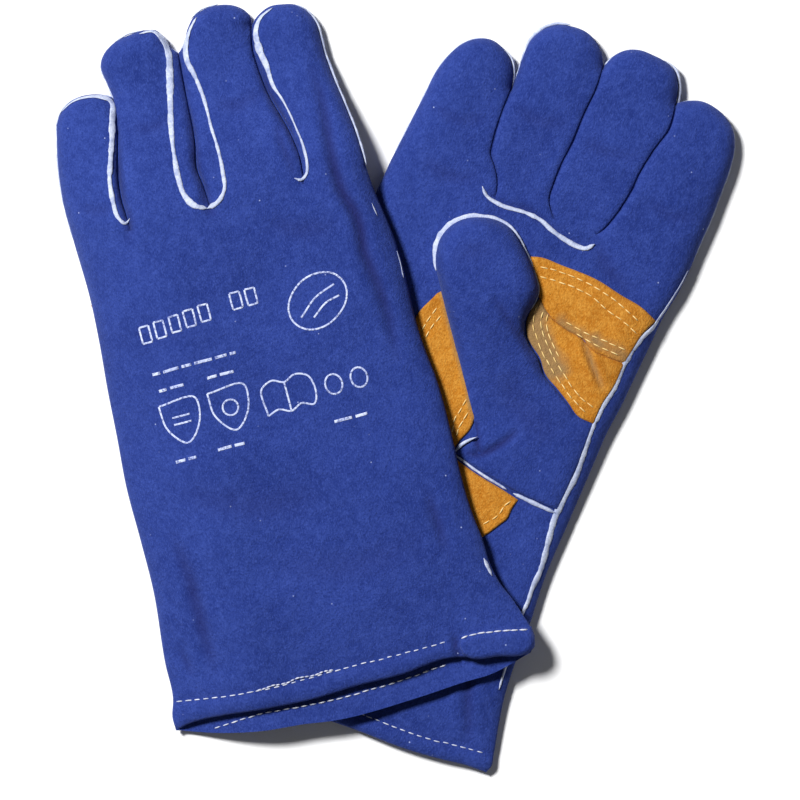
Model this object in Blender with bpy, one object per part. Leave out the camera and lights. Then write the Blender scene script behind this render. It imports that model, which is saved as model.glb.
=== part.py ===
"""A pair of leather welding gauntlets, one lying across the other.

Each glove is built in its own frame: x across the hand, y from the hem to the
fingertips, z up, in millimetres. An empty turns and places that frame. Every
glove has a flat side that lies underneath and a domed side on top of it. The
lower glove lies on its back with the palm up; the upper one lies palm down.
Each digit hangs on an empty that sits on its bending line.
"""
import math

import bmesh
import bpy
from mathutils import Matrix, Vector

MM = 0.001

# Middle of the pair's outline, so that the origin lies under it, mm
CENTRE = (-0.7, -0.66)

# Material thicknesses and clearances, mm
LEATHER = 1.5
LINING = 0.9
WELT = 0.8
GAP = 0.3
PATCH = 1.1
PATCH_GAP = 0.8
SEAM_GAP = 0.4
WELT_WIDTH = 4.0
WELT_SHOW = 1.0
THREAD = 0.5
THREAD_WIDTH = 1.2

# Thickness of an empty glove, outside to outside, mm
EDGE = 2 * LEATHER + WELT + 2 * GAP
DIGIT_CROWN = 16.0
THUMB_CROWN = 14.8
THUMB_GAP = 2.3
CROWN = ((0, 12.5), (60, 13), (142, 13.5), (190, 15), (290, 15))

# Where the parts of a glove meet along its length, mm from the hem
WRIST_SEAM = 142.0
LINING_MOUTH = 8.0
HEM_STITCH = 12.0

# The upper glove bridges over the lower one and over its own thumb, mm
CUFF_LIFT = 15.9
HAND_LIFT = 17.6
LIFT_RAMP = 60.0
FINGERS_DOWN = 325.0

# Where a digit's middle station lies, as a fraction of its length
DIGIT_MIDDLE = 0.45

# Grid lines of the sheets: across a hand, across a digit, along a digit
ACROSS = (-1, -0.93, -0.8, -0.62, -0.42, -0.2, 0, 0.2, 0.42, 0.62, 0.8, 0.93, 1)
DIGIT_ACROSS = (-1, -0.8, -0.45, 0, 0.45, 0.8, 1)
DIGIT_ALONG = (0, 0.12, 0.28, 0.45, 0.6, 0.73, 0.84, 0.92, 0.97, 0.995)

# Outlines: (y, x) stations of the two sides; digits as tip y, tip radius and
# (x, half width) at the root, the middle and the end
LOWER = {
    "name": "lower", "palm_up": True, "place": (-25.9, -171.1), "turn": -20.0,
    "left": ((0, -68), (37, -73), (83, -77.5), (131, -79), (224, -77.5), (276, -76)),
    "right": ((0, 75), (30, 71.5), (92, 68), (150, 71), (215, 76.5), (276, 84)),
    "knuckles": 276.0, "hem": (2.0, 2.0), "patch_side": 1, "palm_shift": 0.0,
    "thumb": (3.0, 206.0, 20.0),
    "digits": {
        "index": (349.7, 21, ((-50.0, 25.3), (-51.5, 21.0), (-51.0, 20.0))),
        "middle": (370.0, 19, ((-7.6, 14.2), (-12.3, 17.4), (-11.5, 18.8))),
        "ring": (370.0, 20, ((20.8, 11.8), (24.6, 17.8), (28.6, 20.0))),
        "little": (357.0, 18, ((59.4, 24.6), (64.8, 20.8), (67.8, 17.6))),
    },
}
UPPER = {
    "name": "upper", "palm_up": False, "place": (-21.9, -151.1), "turn": 15.0,
    "left": ((0, -90.5), (18, -88), (75, -83.5), (150, -81), (200, -77.5), (250, -76.5)),
    "right": ((0, 93.5), (32, 85), (57, 82), (125, 81), (200, 79), (250, 74.5)),
    "knuckles": 250.0, "hem": (-10.0, 2.0), "patch_side": -1, "palm_shift": -26.0,
    "thumb": (-3.0, 178.0, -20.0),
    "digits": {
        "little": (322.0, 15, ((-62.5, 14.0), (-62.5, 13.2), (-56.5, 16.0))),
        "ring": (345.5, 16, ((-30.0, 14.0), (-26.5, 13.4), (-23.5, 17.3))),
        "middle": (348.5, 16, ((24.5, 19.6), (20.5, 15.2), (20.0, 18.0))),
        "index": (341.0, 15, ((60.3, 13.9), (57.0, 14.4), (52.8, 16.2))),
    },
}
THUMB_LENGTH = 64.0
THUMB_TIP_RADIUS = 26.0
THUMB_SHAPE = ((0.0, 19.5), (0.0, 24.0), (-3.5, 24.5))

# What lies on the palm, palm up: (y, x) stations of its left and its right edge,
# its rows, its columns, its thickness and what it is made of
PALM_PIECES = {
    "palm_patch_lower": (
        ((187.5, 58), (195, 46), (203, 35.5), (211, 26), (219, 19), (228, 17)),
        ((187.5, 62), (208, 65.5), (228, 67.5)),
        (187.5, 195, 203, 211, 219, 227.5), 4, PATCH, "yellow_suede"),
    "palm_patch_upper": (
        ((228, 12), (254, 8)), ((228, 68), (240, 70), (254, 60)),
        (228.5, 236, 243, 249, 254), 5, PATCH, "yellow_suede"),
    "thumb_heel": (
        ((145, 6), (165, 0), (190, -9), (203, -13)),
        ((145, 62), (184, 62), (190, 52), (197, 41), (203, 33)),
        (145, 155, 165, 175, 184, 190, 197, 203), 5, PATCH, "blue_suede"),
    "crotch_patch": (
        ((152, -22), (185, -44), (218, -54)), ((152, 2.5), (185, -9), (218, -30)),
        (152, 163, 174, 185, 196, 207, 218), 3, PATCH, "yellow_suede"),
    "wrist_patch": (
        ((115, -16), (140, -16)), ((115, 32), (124, 38), (140, 42)),
        (115, 124, 132, 140), 4, PATCH, "yellow_suede"),
    "wrist_welt": (
        ((140, -60), (144, -60)), ((140, 62), (144, 62)),
        (140.7, 143.7), 9, WELT, "white_welt"),
    "finger_seam_welt": (
        ((260, -27), (276, -27)), ((260, 34), (276, 34)),
        (269, 272), 4, WELT, "white_welt"),
}

COLOURS = {
    "blue_suede": (0.030, 0.060, 0.270),
    "yellow_suede": (0.520, 0.220, 0.030),
    "white_welt": (0.620, 0.660, 0.800),
    "white_thread": (0.780, 0.780, 0.800),
    "grey_fleece": (0.450, 0.450, 0.440),
    "cream_canvas": (0.560, 0.500, 0.390),
}


def material(name):
    """One rough, non-metallic material for each kind of stuff."""
    if name in bpy.data.materials:
        return bpy.data.materials[name]
    made = bpy.data.materials.new(name)
    made.use_nodes = True
    shader = made.node_tree.nodes["Principled BSDF"]
    shader.inputs["Base Color"].default_value = (*COLOURS[name], 1.0)
    shader.inputs["Roughness"].default_value = 0.9
    shader.inputs["Metallic"].default_value = 0.0
    made.diffuse_color = (*COLOURS[name], 1.0)
    return made


def clear_scene():
    for old in list(bpy.data.objects):
        bpy.data.objects.remove(old, do_unlink=True)


def curve(stations, at):
    """Smooth value through (position, value) stations, flat beyond the ends."""
    last = len(stations) - 1
    if at <= stations[0][0]:
        return stations[0][1]
    if at >= stations[last][0]:
        return stations[last][1]
    i = max(k for k in range(last) if stations[k][0] <= at)
    (a, va), (b, vb) = stations[i], stations[i + 1]
    before = stations[max(i - 1, 0)]
    after = stations[min(i + 2, last)]
    slope_a = (vb - before[1]) / (b - before[0])
    slope_b = (after[1] - va) / (after[0] - a)
    t = (at - a) / (b - a)
    span = b - a
    return (va * (2 * t ** 3 - 3 * t ** 2 + 1) + slope_a * span * (t ** 3 - 2 * t ** 2 + t)
            + vb * (3 * t ** 2 - 2 * t ** 3) + slope_b * span * (t ** 3 - t ** 2))


def ease(t):
    """A cosine step from 0 at t = 0 to 1 at t = 1."""
    return (1 - math.cos(math.pi * min(max(t, 0.0), 1.0))) / 2


def arch(u):
    """Height of the domed side across a tube: 1 in the middle, 0 at the seams."""
    return max(1 - abs(u) ** 3.5, 0.0) ** 0.6


def lift(glove, x, y):
    """Height of a glove's flat side above the table."""
    if glove["palm_up"]:
        return 0.0
    start = -98 + 6 * ease(y / WRIST_SEAM)
    top = CUFF_LIFT + (HAND_LIFT - CUFF_LIFT) * ease((y - 60) / 50)
    down = ease((y - glove["knuckles"]) / (FINGERS_DOWN - glove["knuckles"]))
    return top * ease((x - start) / LIFT_RAMP) * (1 - down)


def side_x(glove, y, u):
    left = curve(glove["left"], y)
    right = curve(glove["right"], y)
    return (left + right) / 2 + u * (right - left - 2 * WELT_SHOW) / 2


def thickness(glove, x, y):
    """Distance from the flat side to the domed side of the hand and cuff."""
    left = curve(glove["left"], y)
    right = curve(glove["right"], y)
    u = (2 * x - left - right) / (right - left - 2 * WELT_SHOW)
    return EDGE + (curve(CROWN, y) - EDGE) * arch(u)


def hand_rows(first, last):
    """Lengthwise positions of the grid, about 20 mm apart."""
    count = max(round((last - first) / 20.0), 1)
    return [first + (last - first) * k / count for k in range(count + 1)]


def hand_plan(glove, rows, columns):
    return [[(side_x(glove, y, u), y) for u in columns] for y in rows]


def heights(glove, plan, level):
    """World height of each plan point; level gives mm above the flat side."""
    return [[lift(glove, x, y) + level(x, y) for x, y in row] for row in plan]


def triangles(rows, columns, flip):
    """Two triangles for each cell of a grid, always on the same diagonal."""
    faces = []
    for r in range(rows - 1):
        for c in range(columns - 1):
            a = r * columns + c
            cell = ((a, a + 1, a + columns + 1), (a, a + columns + 1, a + columns))
            faces += [face[::-1] if flip else face for face in cell]
    return faces


def grid_rim(rows, columns):
    """The grid's outer vertices in order around it."""
    rim = list(range(columns - 1))
    rim += [r * columns + columns - 1 for r in range(rows - 1)]
    rim += [(rows - 1) * columns + c for c in range(columns - 1, 0, -1)]
    rim += [r * columns for r in range(rows - 1, 0, -1)]
    return rim


def layer(plan, low, high):
    """A closed sheet between two height grids over one plan grid."""
    rows, columns = len(plan), len(plan[0])
    count = rows * columns
    points = [(*plan[r][c], low[r][c]) for r in range(rows) for c in range(columns)]
    points += [(*plan[r][c], high[r][c]) for r in range(rows) for c in range(columns)]
    faces = triangles(rows, columns, True)
    faces += [tuple(count + i for i in face) for face in triangles(rows, columns, False)]
    rim = grid_rim(rows, columns)
    for i, start in enumerate(rim):
        end = rim[(i + 1) % len(rim)]
        faces += [(start, end, count + end), (start, count + end, count + start)]
    return points, faces


def tube(outer, inner):
    """A closed-wall tube through matching rings, open at both of its ends."""
    rings, around = len(outer), len(outer[0])
    points = [p for ring in outer for p in ring] + [p for ring in inner for p in ring]
    inside = rings * around
    faces = []
    for r in range(rings - 1):
        for c in range(around):
            a, b = r * around + c, r * around + (c + 1) % around
            up = c >= around // 2
            cell = ((a, b, b + around), (a, b + around, a + around))
            if up:
                cell = ((b, a, a + around), (b, a + around, b + around))
                cell = tuple(face[::-1] for face in cell)
            faces += cell
            faces += [tuple(inside + i for i in face[::-1]) for face in cell]
    for r in (0, rings - 1):
        for c in range(around):
            a, b = r * around + c, r * around + (c + 1) % around
            faces += [(a, b, inside + b), (a, inside + b, inside + a)]
    return points, faces


def holder(name, matrix, parent=None):
    """An empty that pieces hang on; a digit's sits on its bending line."""
    made = bpy.data.objects.new(name, None)
    bpy.context.collection.objects.link(made)
    made.parent = parent
    made.matrix_world = matrix
    bpy.context.view_layer.update()
    return made


def piece(name, shape, stuff, frame, held_by):
    """Make one node from glove-frame millimetres, parented to its holder."""
    points, faces = shape
    to_holder = held_by.matrix_world.inverted() @ frame
    mesh = bpy.data.meshes.new(name)
    solid = bmesh.new()
    made = [solid.verts.new(to_holder @ (Vector(p) * MM)) for p in points]
    for face in faces:
        solid.faces.new([made[i] for i in face])
    bmesh.ops.recalc_face_normals(solid, faces=solid.faces)
    solid.to_mesh(mesh)
    solid.free()
    mesh.materials.append(material(stuff))
    node = bpy.data.objects.new(name, mesh)
    bpy.context.collection.objects.link(node)
    node.parent = held_by
    return node


def flat_level(x, y):
    return 0.0


def panel(glove, rows, columns, low, high):
    plan = hand_plan(glove, rows, columns)
    return layer(plan, heights(glove, plan, low), heights(glove, plan, high))


def flat_panel(glove, rows):
    columns = (-1, -0.5, 0, 0.5, 1) if glove["palm_up"] else ACROSS
    return panel(glove, rows, columns, flat_level, lambda x, y: LEATHER)


def dome_panel(glove, rows):
    return panel(glove, rows, ACROSS,
                 lambda x, y: thickness(glove, x, y) - LEATHER,
                 lambda x, y: thickness(glove, x, y))


def hand_leather(glove, add):
    """Back panel in one length; the palm side in two, met at the wrist seam."""
    flat_hem, dome_hem = glove["hem"]
    make_back, make_front = dome_panel, flat_panel
    back_hem, front_hem = dome_hem, flat_hem
    if glove["palm_up"]:
        make_back, make_front = flat_panel, dome_panel
        back_hem, front_hem = flat_hem, dome_hem
    top = glove["knuckles"]
    below = hand_rows(2.0, WRIST_SEAM)
    above = hand_rows(WRIST_SEAM, top)
    back = [back_hem] + below[1:] + above[1:]
    cuff = [front_hem] + below[1:-1] + [WRIST_SEAM - SEAM_GAP / 2]
    palm = [WRIST_SEAM + SEAM_GAP / 2] + above[1:]
    add("back_panel", make_back(glove, back), "blue_suede")
    add("cuff_front", make_front(glove, cuff), "blue_suede")
    add("palm_panel", make_front(glove, palm), "blue_suede")


def lining_ring(glove, y, inset):
    """One ring of the lining, wound under the hand and back over it."""
    columns = ACROSS[1:-1]
    bottom, top = [], []
    for u in columns:
        x = side_x(glove, y, u)
        if abs(u) == columns[-1]:
            x -= math.copysign(inset, u)
        base = lift(glove, x, y)
        side = LEATHER + GAP + inset
        bottom.append((x, y, base + side))
        top.append((x, y, base + thickness(glove, side_x(glove, y, u), y) - side))
    return bottom + top[::-1]


def linings(glove, add):
    cuff = [LINING_MOUTH] + hand_rows(2.0, WRIST_SEAM)[1:-1] + [WRIST_SEAM - 1]
    hand = [WRIST_SEAM + 1] + hand_rows(WRIST_SEAM, glove["knuckles"])[1:]
    for name, rows, stuff in (("cuff_lining", cuff, "cream_canvas"),
                              ("hand_liner", hand, "grey_fleece")):
        outer = [lining_ring(glove, y, 0.0) for y in rows]
        inner = [lining_ring(glove, y, LINING) for y in rows]
        add(name, tube(outer, inner), stuff)


def side_welts(glove, add):
    """The strips sewn between the two leathers down both sides."""
    top = glove["knuckles"] - SEAM_GAP
    rows = hand_rows(2.0, WRIST_SEAM)[:-1] + hand_rows(WRIST_SEAM, top)
    little_side = 1 if glove["palm_up"] else -1
    for name, side in (("little_side_welt", little_side), ("index_side_welt", -little_side)):
        plan = []
        for y in rows:
            edge = curve(glove["right" if side > 0 else "left"], y)
            inner = edge - side * WELT_WIDTH
            plan.append([(edge, y), (inner, y)] if side < 0 else [(inner, y), (edge, y)])
        low = heights(glove, plan, lambda x, y: LEATHER + GAP)
        high = heights(glove, plan, lambda x, y: LEATHER + GAP + WELT)
        add(name, layer(plan, low, high), "white_welt")


def outside(glove, near, far):
    """Levels of a piece laid on the palm's outer face, near to far from it."""
    if glove["palm_up"]:
        return (lambda x, y: thickness(glove, x, y) + near,
                lambda x, y: thickness(glove, x, y) + far)
    return lambda x, y: -far, lambda x, y: -near


def palm_sheet(glove, left, right, rows, columns, thick):
    """A sheet on the palm between two (y, x) edges given for the palm-up hand."""
    side = glove["patch_side"]
    plan = []
    for y in rows:
        a, b = curve(left, y), curve(right, y)
        plan.append([(side * (a + (b - a) * k / columns), y + glove["palm_shift"])
                     for k in range(columns + 1)])
    low, high = outside(glove, PATCH_GAP, PATCH_GAP + thick)
    return layer(plan, heights(glove, plan, low), heights(glove, plan, high))


def palm_pieces(glove, add):
    """Reinforcing patches, the thumb's heel and the seams across the palm."""
    for name, (left, right, rows, columns, thick, stuff) in PALM_PIECES.items():
        add(name, palm_sheet(glove, left, right, rows, columns, thick), stuff)


def hem_thread(glove, add):
    """The row of stitches that holds the turned hem of the domed side."""
    half = THREAD_WIDTH / 2
    columns = ACROSS[1:-1]
    rows = (HEM_STITCH - half, HEM_STITCH + half)
    shape = panel(glove, rows, columns,
                  lambda x, y: thickness(glove, x, y) + GAP,
                  lambda x, y: thickness(glove, x, y) + GAP + THREAD)
    add("hem_thread", shape, "white_thread")


def digit_width(shape, s):
    """Centre and half width through three stations: root, middle and end."""
    m = DIGIT_MIDDLE
    a = (s - m) * (s - 1) / m
    b = s * (s - 1) / (m * (m - 1))
    c = s * (s - m) / (1 - m)
    return [a * shape[0][k] + b * shape[1][k] + c * shape[2][k] for k in (0, 1)]


def digit_section(length, radius, shape, s):
    """Centre, leather half width and fullness at fraction s of a digit."""
    centre, half = digit_width(shape, s)
    past = max(s * length - (length - radius), 0.0) / radius
    round_off = math.sqrt(max(1 - past * past, 0.0))
    return centre, (half - WELT_SHOW) * round_off, round_off


def digit_plan(base_y, length, radius, shape, columns):
    plan = []
    for s in DIGIT_ALONG:
        centre, half, _ = digit_section(length, radius, shape, s)
        plan.append([(centre + half * u, base_y + SEAM_GAP + s * length) for u in columns])
    return plan


def digit_crown(length, radius, shape, crown):
    """Thickness grid of a digit, full in the middle and thin at the seam."""
    grid = []
    for s in DIGIT_ALONG:
        full = digit_section(length, radius, shape, s)[2]
        grid.append([EDGE + (crown - EDGE) * arch(u) * full ** 0.8 for u in DIGIT_ACROSS])
    return grid


def welt_path(plan):
    """A strip just outside and inside a digit's seam, around its tip."""
    path = [row[0] for row in plan] + [row[-1] for row in plan[::-1]]
    strip = []
    for i, (x, y) in enumerate(path):
        a, b = path[max(i - 1, 0)], path[min(i + 1, len(path) - 1)]
        dx, dy = b[0] - a[0], b[1] - a[1]
        size = math.hypot(dx, dy)
        nx, ny = dy / size, -dx / size
        if i in (0, len(path) - 1):
            nx, ny = math.copysign(1.0, nx), 0.0
        inner = WELT_WIDTH - WELT_SHOW
        strip.append([(x - WELT_SHOW * nx, y - WELT_SHOW * ny), (x + inner * nx, y + inner * ny)])
    return strip


def digit_pieces(name, plans, crown_grid, base, under, over, add):
    """Flat leather, welt and domed leather of one digit."""
    narrow, full = plans
    low = [[base(x, y) for x, y in row] for row in narrow]
    high = [[z + LEATHER for z in row] for row in low]
    add(name + "_" + under, layer(narrow, low, high), "blue_suede")
    strip = welt_path(full)
    low = [[base(x, y) + LEATHER + GAP for x, y in row] for row in strip]
    high = [[z + WELT for z in row] for row in low]
    add(name + "_welt", layer(strip, low, high), "white_welt")
    grid = [[base(*full[r][c]) + crown_grid[r][c] for c in range(len(full[r]))]
            for r in range(len(full))]
    inside = [[z - LEATHER for z in row] for row in grid]
    add(name + "_" + over, layer(full, inside, grid), "blue_suede")


def finger(glove, name, spec, add):
    tip_y, radius, shape = spec
    base_y = glove["knuckles"]
    length = tip_y - base_y - SEAM_GAP
    plans = [digit_plan(base_y, length, radius, shape, columns)
             for columns in ((-1, 0, 1), DIGIT_ACROSS)]
    crown_grid = digit_crown(length, radius, shape, DIGIT_CROWN)
    sides = ("back", "front") if glove["palm_up"] else ("front", "back")
    digit_pieces(name, plans, crown_grid, lambda x, y: lift(glove, x, y), *sides, add)


def thumb(glove, add):
    """The thumb lies folded flat against the palm's outer face."""
    hinge_x, hinge_y, turn = glove["thumb"]
    angle = math.radians(turn)
    side = glove["patch_side"]
    shape = [(side * x, half) for x, half in THUMB_SHAPE]

    def turned(plan):
        return [[(hinge_x + x * math.cos(angle) - y * math.sin(angle),
                  hinge_y + x * math.sin(angle) + y * math.cos(angle)) for x, y in row]
                for row in plan]

    plans = [turned(digit_plan(0.0, THUMB_LENGTH, THUMB_TIP_RADIUS, shape, columns))
             for columns in ((-1, 0, 1), DIGIT_ACROSS)]
    crown_grid = digit_crown(THUMB_LENGTH, THUMB_TIP_RADIUS, shape, THUMB_CROWN)
    floor = thumb_floor(glove)
    sides = ("inner", "outer") if glove["palm_up"] else ("outer", "inner")
    digit_pieces("thumb", plans, crown_grid, lambda x, y: floor, *sides, add)


def thumb_floor(glove):
    """Height of the thumb's lowest face."""
    return CROWN[-1][1] + THUMB_GAP if glove["palm_up"] else GAP


def hinge_matrix(glove, frame, name):
    """An empty on the digit's bending line, on the palm's face, x along it."""
    if name == "thumb":
        x, y, turn = glove["thumb"]
        z = thumb_floor(glove) + (THUMB_CROWN if glove["palm_up"] else 0.0)
        spin = Matrix.Rotation(math.radians(turn), 4, "Z")
        return frame @ Matrix.Translation(Vector((x, y, z)) * MM) @ spin
    x, half = glove["digits"][name][2][0]
    y = glove["knuckles"]
    z = min(lift(glove, x - half, y), lift(glove, x + half, y))
    z += DIGIT_CROWN if glove["palm_up"] else 0.0
    return frame @ Matrix.Translation(Vector((x, y, z)) * MM)


def build_glove(glove):
    place = Vector((glove["place"][0] - CENTRE[0], glove["place"][1] - CENTRE[1], 0.0)) * MM
    frame = Matrix.Translation(place) @ Matrix.Rotation(math.radians(glove["turn"]), 4, "Z")
    body = holder(glove["name"] + "_glove", frame)

    def adder(held_by):
        def add(name, shape, stuff):
            piece(glove["name"] + "_" + name, shape, stuff, frame, held_by)
        return add

    hand = adder(body)
    hand_leather(glove, hand)
    linings(glove, hand)
    side_welts(glove, hand)
    palm_pieces(glove, hand)
    hem_thread(glove, hand)
    for name in ("thumb", *glove["digits"]):
        axis = holder(glove["name"] + "_" + name + "_hinge", hinge_matrix(glove, frame, name), body)
        if name == "thumb":
            thumb(glove, adder(axis))
        else:
            finger(glove, name, glove["digits"][name], adder(axis))


clear_scene()
for each in (LOWER, UPPER):
    build_glove(each)
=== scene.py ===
"""Looks of a pair of leather welding gloves, one lying across the other.

Each glove is shaped in its own frame, in millimetres: x across the hand, y from
the hem to the fingertips, z up from the table. The lower glove lies palm up and
the upper one palm down. A glove is two leather sheets that meet at a rim: the
domed side on top and the flat side underneath. Their heights are functions of
(x, y), so that every panel, patch, welt and stitch lies on the same surface.
"""
import math

import bpy
import numpy as np
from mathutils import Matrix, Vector, geometry, noise


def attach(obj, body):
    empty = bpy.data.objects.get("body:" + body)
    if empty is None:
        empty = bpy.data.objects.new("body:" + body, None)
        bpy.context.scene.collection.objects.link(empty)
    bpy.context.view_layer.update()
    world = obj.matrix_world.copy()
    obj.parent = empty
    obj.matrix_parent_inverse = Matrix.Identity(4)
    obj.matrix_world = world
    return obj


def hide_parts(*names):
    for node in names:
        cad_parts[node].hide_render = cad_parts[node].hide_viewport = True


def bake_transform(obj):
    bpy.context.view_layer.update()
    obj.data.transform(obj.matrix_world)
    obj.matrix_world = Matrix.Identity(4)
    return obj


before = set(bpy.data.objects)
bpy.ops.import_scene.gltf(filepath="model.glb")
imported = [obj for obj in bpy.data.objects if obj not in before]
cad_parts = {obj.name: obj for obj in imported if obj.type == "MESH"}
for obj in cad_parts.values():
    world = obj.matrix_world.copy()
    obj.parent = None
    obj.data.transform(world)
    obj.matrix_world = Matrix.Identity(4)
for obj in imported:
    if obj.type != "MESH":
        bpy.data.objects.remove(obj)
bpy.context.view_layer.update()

MM = 0.001

# Sheets and surface shape, mm
LEATHER = 1.3
PATCH = 1.3
PATCH_EDGE = 0.15
PATCH_ROUND = 0.9
PATCH_ROOM = 1.7
LINING = 0.9
LINING_DEPTH = 2.3
LINING_SPAN = 0.93
LINING_ROOM = 1.6
LINING_MARGIN = 2.0
SEAM = 4.8
HAND_REACH = 15.0
FINGER_REACH = 9.0
FINGER_START = 42
FINGER_RUN = 48
SLIT_WALL = 0.4
SLIT_RUN = 14.0
SLIT_FADE = 0.55
FLAT_REACH = 3.0
THUMB_REACH = 9.0
CROWN = ((-20, 7.2), (8, 8.4), (56, 12.7), (142, 13.5), (190, 15.0), (290, 15.8), (380, 15.0))

# Creases: how high their shoulders stand, and the depth (mm) at which one's painted shade is full
SHOULDER = 0.35
FULL_DARK = 2.2

# The lower thumb rises from its heel along this stretch; the upper one lies flat, mm
THUMB_CROWN = 15.2
HEEL_CROWN = 1.6
HEEL_START = 42.0
HEEL_RUN = 76.0
FLAT_THUMB_CROWN = 13.6
TABLE_GAP = 0.3

# The upper glove's height above the table, as in the CAD model, mm
CUFF_LIFT = 15.9
HAND_LIFT = 17.6
LIFT_START = -98
LIFT_SHIFT = 6
LIFT_RAMP = 60.0
RISE_START = 60
RISE_RUN = 50
FINGERS_DOWN = 325.0
WRIST_SEAM = 142.0

# Mesh spacing, mm
HAND_STEP = 2.2
FINGER_STEP = 1.9
PATCH_STEP = 1.7
RIM_STEP = 1.8
LINING_STEP = 5.0
LINING_COLUMNS = 33
RIM_INSET = 0.45
SECOND_INSET = 1.1
STRIP_STEP = 1.1
ROW_HEIGHT = 0.866

# A finger bends over this length from its root, a thumb from before its hinge to after it, mm
BEND_RUN = 18.0
THUMB_BEND = (10, 12)

# Each glove's outlines, in runs that share their end points: left, right and each tip
# leave out the ends that they take from the fingers' sides. A crease has a path, a
# depth and a half width.
LOWER_HEM = ((-67.5, -1), (-44, 0), (3, 1.8), (34.6, 1.4), (50, 2.5), (63.5, 4), (74, 4))
LOWER = {
    "name": "lower",
    "palm_up": True,
    "place": (-25.2, -170.44),
    "turn": -20.0,
    "knuckles": 276.0,
    "palm_side": 1,
    "palm_shift": 0.0,
    "slit_reach": 2.6,
    "slit_floor": 0.74,
    "gusset_depth": 1.5,
    "left": ((-67.5, -1), (-73, 37), (-77.7, 83), (-79, 131), (-78, 174), (-77.5, 224), (-77, 256)),
    "right": ((74, 4), (75.5, 7), (74.6, 14.4), (71.8, 30), (70, 42), (69.3, 55), (69.5, 77),
              (68.6, 108), (70, 133), (71, 150), (72, 168), (73, 185), (75, 199), (76.6, 216),
              (78.4, 235), (79.5, 248), (82.5, 263)),
    "top_hem": LOWER_HEM,
    "flat_hem": LOWER_HEM,
    "wrist": ((-78.8, 148), (-40, 149), (5, 148), (17.7, 144.3), (35.5, 140.6), (51, 139),
              (70.3, 137.5)),
    "fingers": ("index", "middle", "ring", "little"),
    "sides": (
        ((-75.5, 276), (-73.5, 292.5), (-71, 312.5)),
        ((-20, 276), (-20.5, 280), (-22, 285), (-26, 291.5), (-29.5, 296), (-30.4, 301), (-31.2, 313),
         (-30.9, 330.5)),
        ((11.5, 276), (9, 279), (6, 284), (5.3, 292), (5.5, 302), (7, 315), (7.6, 330), (9, 345),
         (8.5, 356.5)),
        ((34, 276), (35.5, 278), (39.6, 287.5), (42.7, 301), (44, 313), (46.5, 325), (50, 337.5),
         (49, 352)),
        ((84, 276), (84.5, 287.6), (85.5, 303), (85.7, 318)),
    ),
    "tips": (
        ((-69.5, 325.4), (-66.3, 335.6), (-62, 343), (-56, 348), (-48, 349.9), (-42, 348), (-37, 344.6),
         (-33, 338.7)),
        ((-31, 341), (-31.3, 349), (-29.7, 358.4), (-26, 364), (-20.5, 368.2), (-13.4, 370),
         (-5, 369.7), (1.4, 366.5), (6, 361.5)),
        ((11.7, 363.6), (17, 368.5), (23, 370.5), (30, 370.4), (37, 369.4), (42.5, 367), (46.5, 361.6)),
        ((54.4, 355), (60.6, 357), (68, 356.3), (75, 353.5), (80.6, 348.6), (84, 341.7), (85.6, 331)),
    ),
    "creases": (
        (((44, 66), (51.4, 40), (61, 15)), 1.3, 2.5),
        (((-28, 279), (-18, 274.5), (-2, 275), (12, 271), (27, 268), (34, 271)), 1.2, 2.0),
        (((-20, 274), (-12, 262), (2, 258)), 0.8, 4.0),
        (((34, 274), (44, 262), (60, 254)), 0.9, 4.0),
        (((-60, 282), (-45, 278), (-30, 283)), 0.7, 3.5),
        (((52, 300), (66, 297), (80, 301)), 0.6, 3.0),
        (((12, 318), (26, 316), (40, 320)), 0.6, 3.0),
        (((-26, 322), (-12, 319), (2, 323)), 0.6, 3.0),
        (((-66, 309), (-52, 306), (-36, 311)), 0.6, 3.0),
        (((5, 148), (17.7, 144.3), (35.5, 140.6), (51, 139), (70.3, 137.5)), 1.0, 1.6),
        (((30, 96), (45, 84), (63, 80)), 0.8, 5.0),
        (((45, 225), (50, 219), (57, 211), (64, 204)), 3.0, 1.3),
    ),
    "stitch_rows": (((-60, 10), (-20, 11), (7, 10.5), (24, 9.8), (40, 10), (58, 12), (72, 13)),),
    "flat_stitch_rows": (),
}
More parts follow.
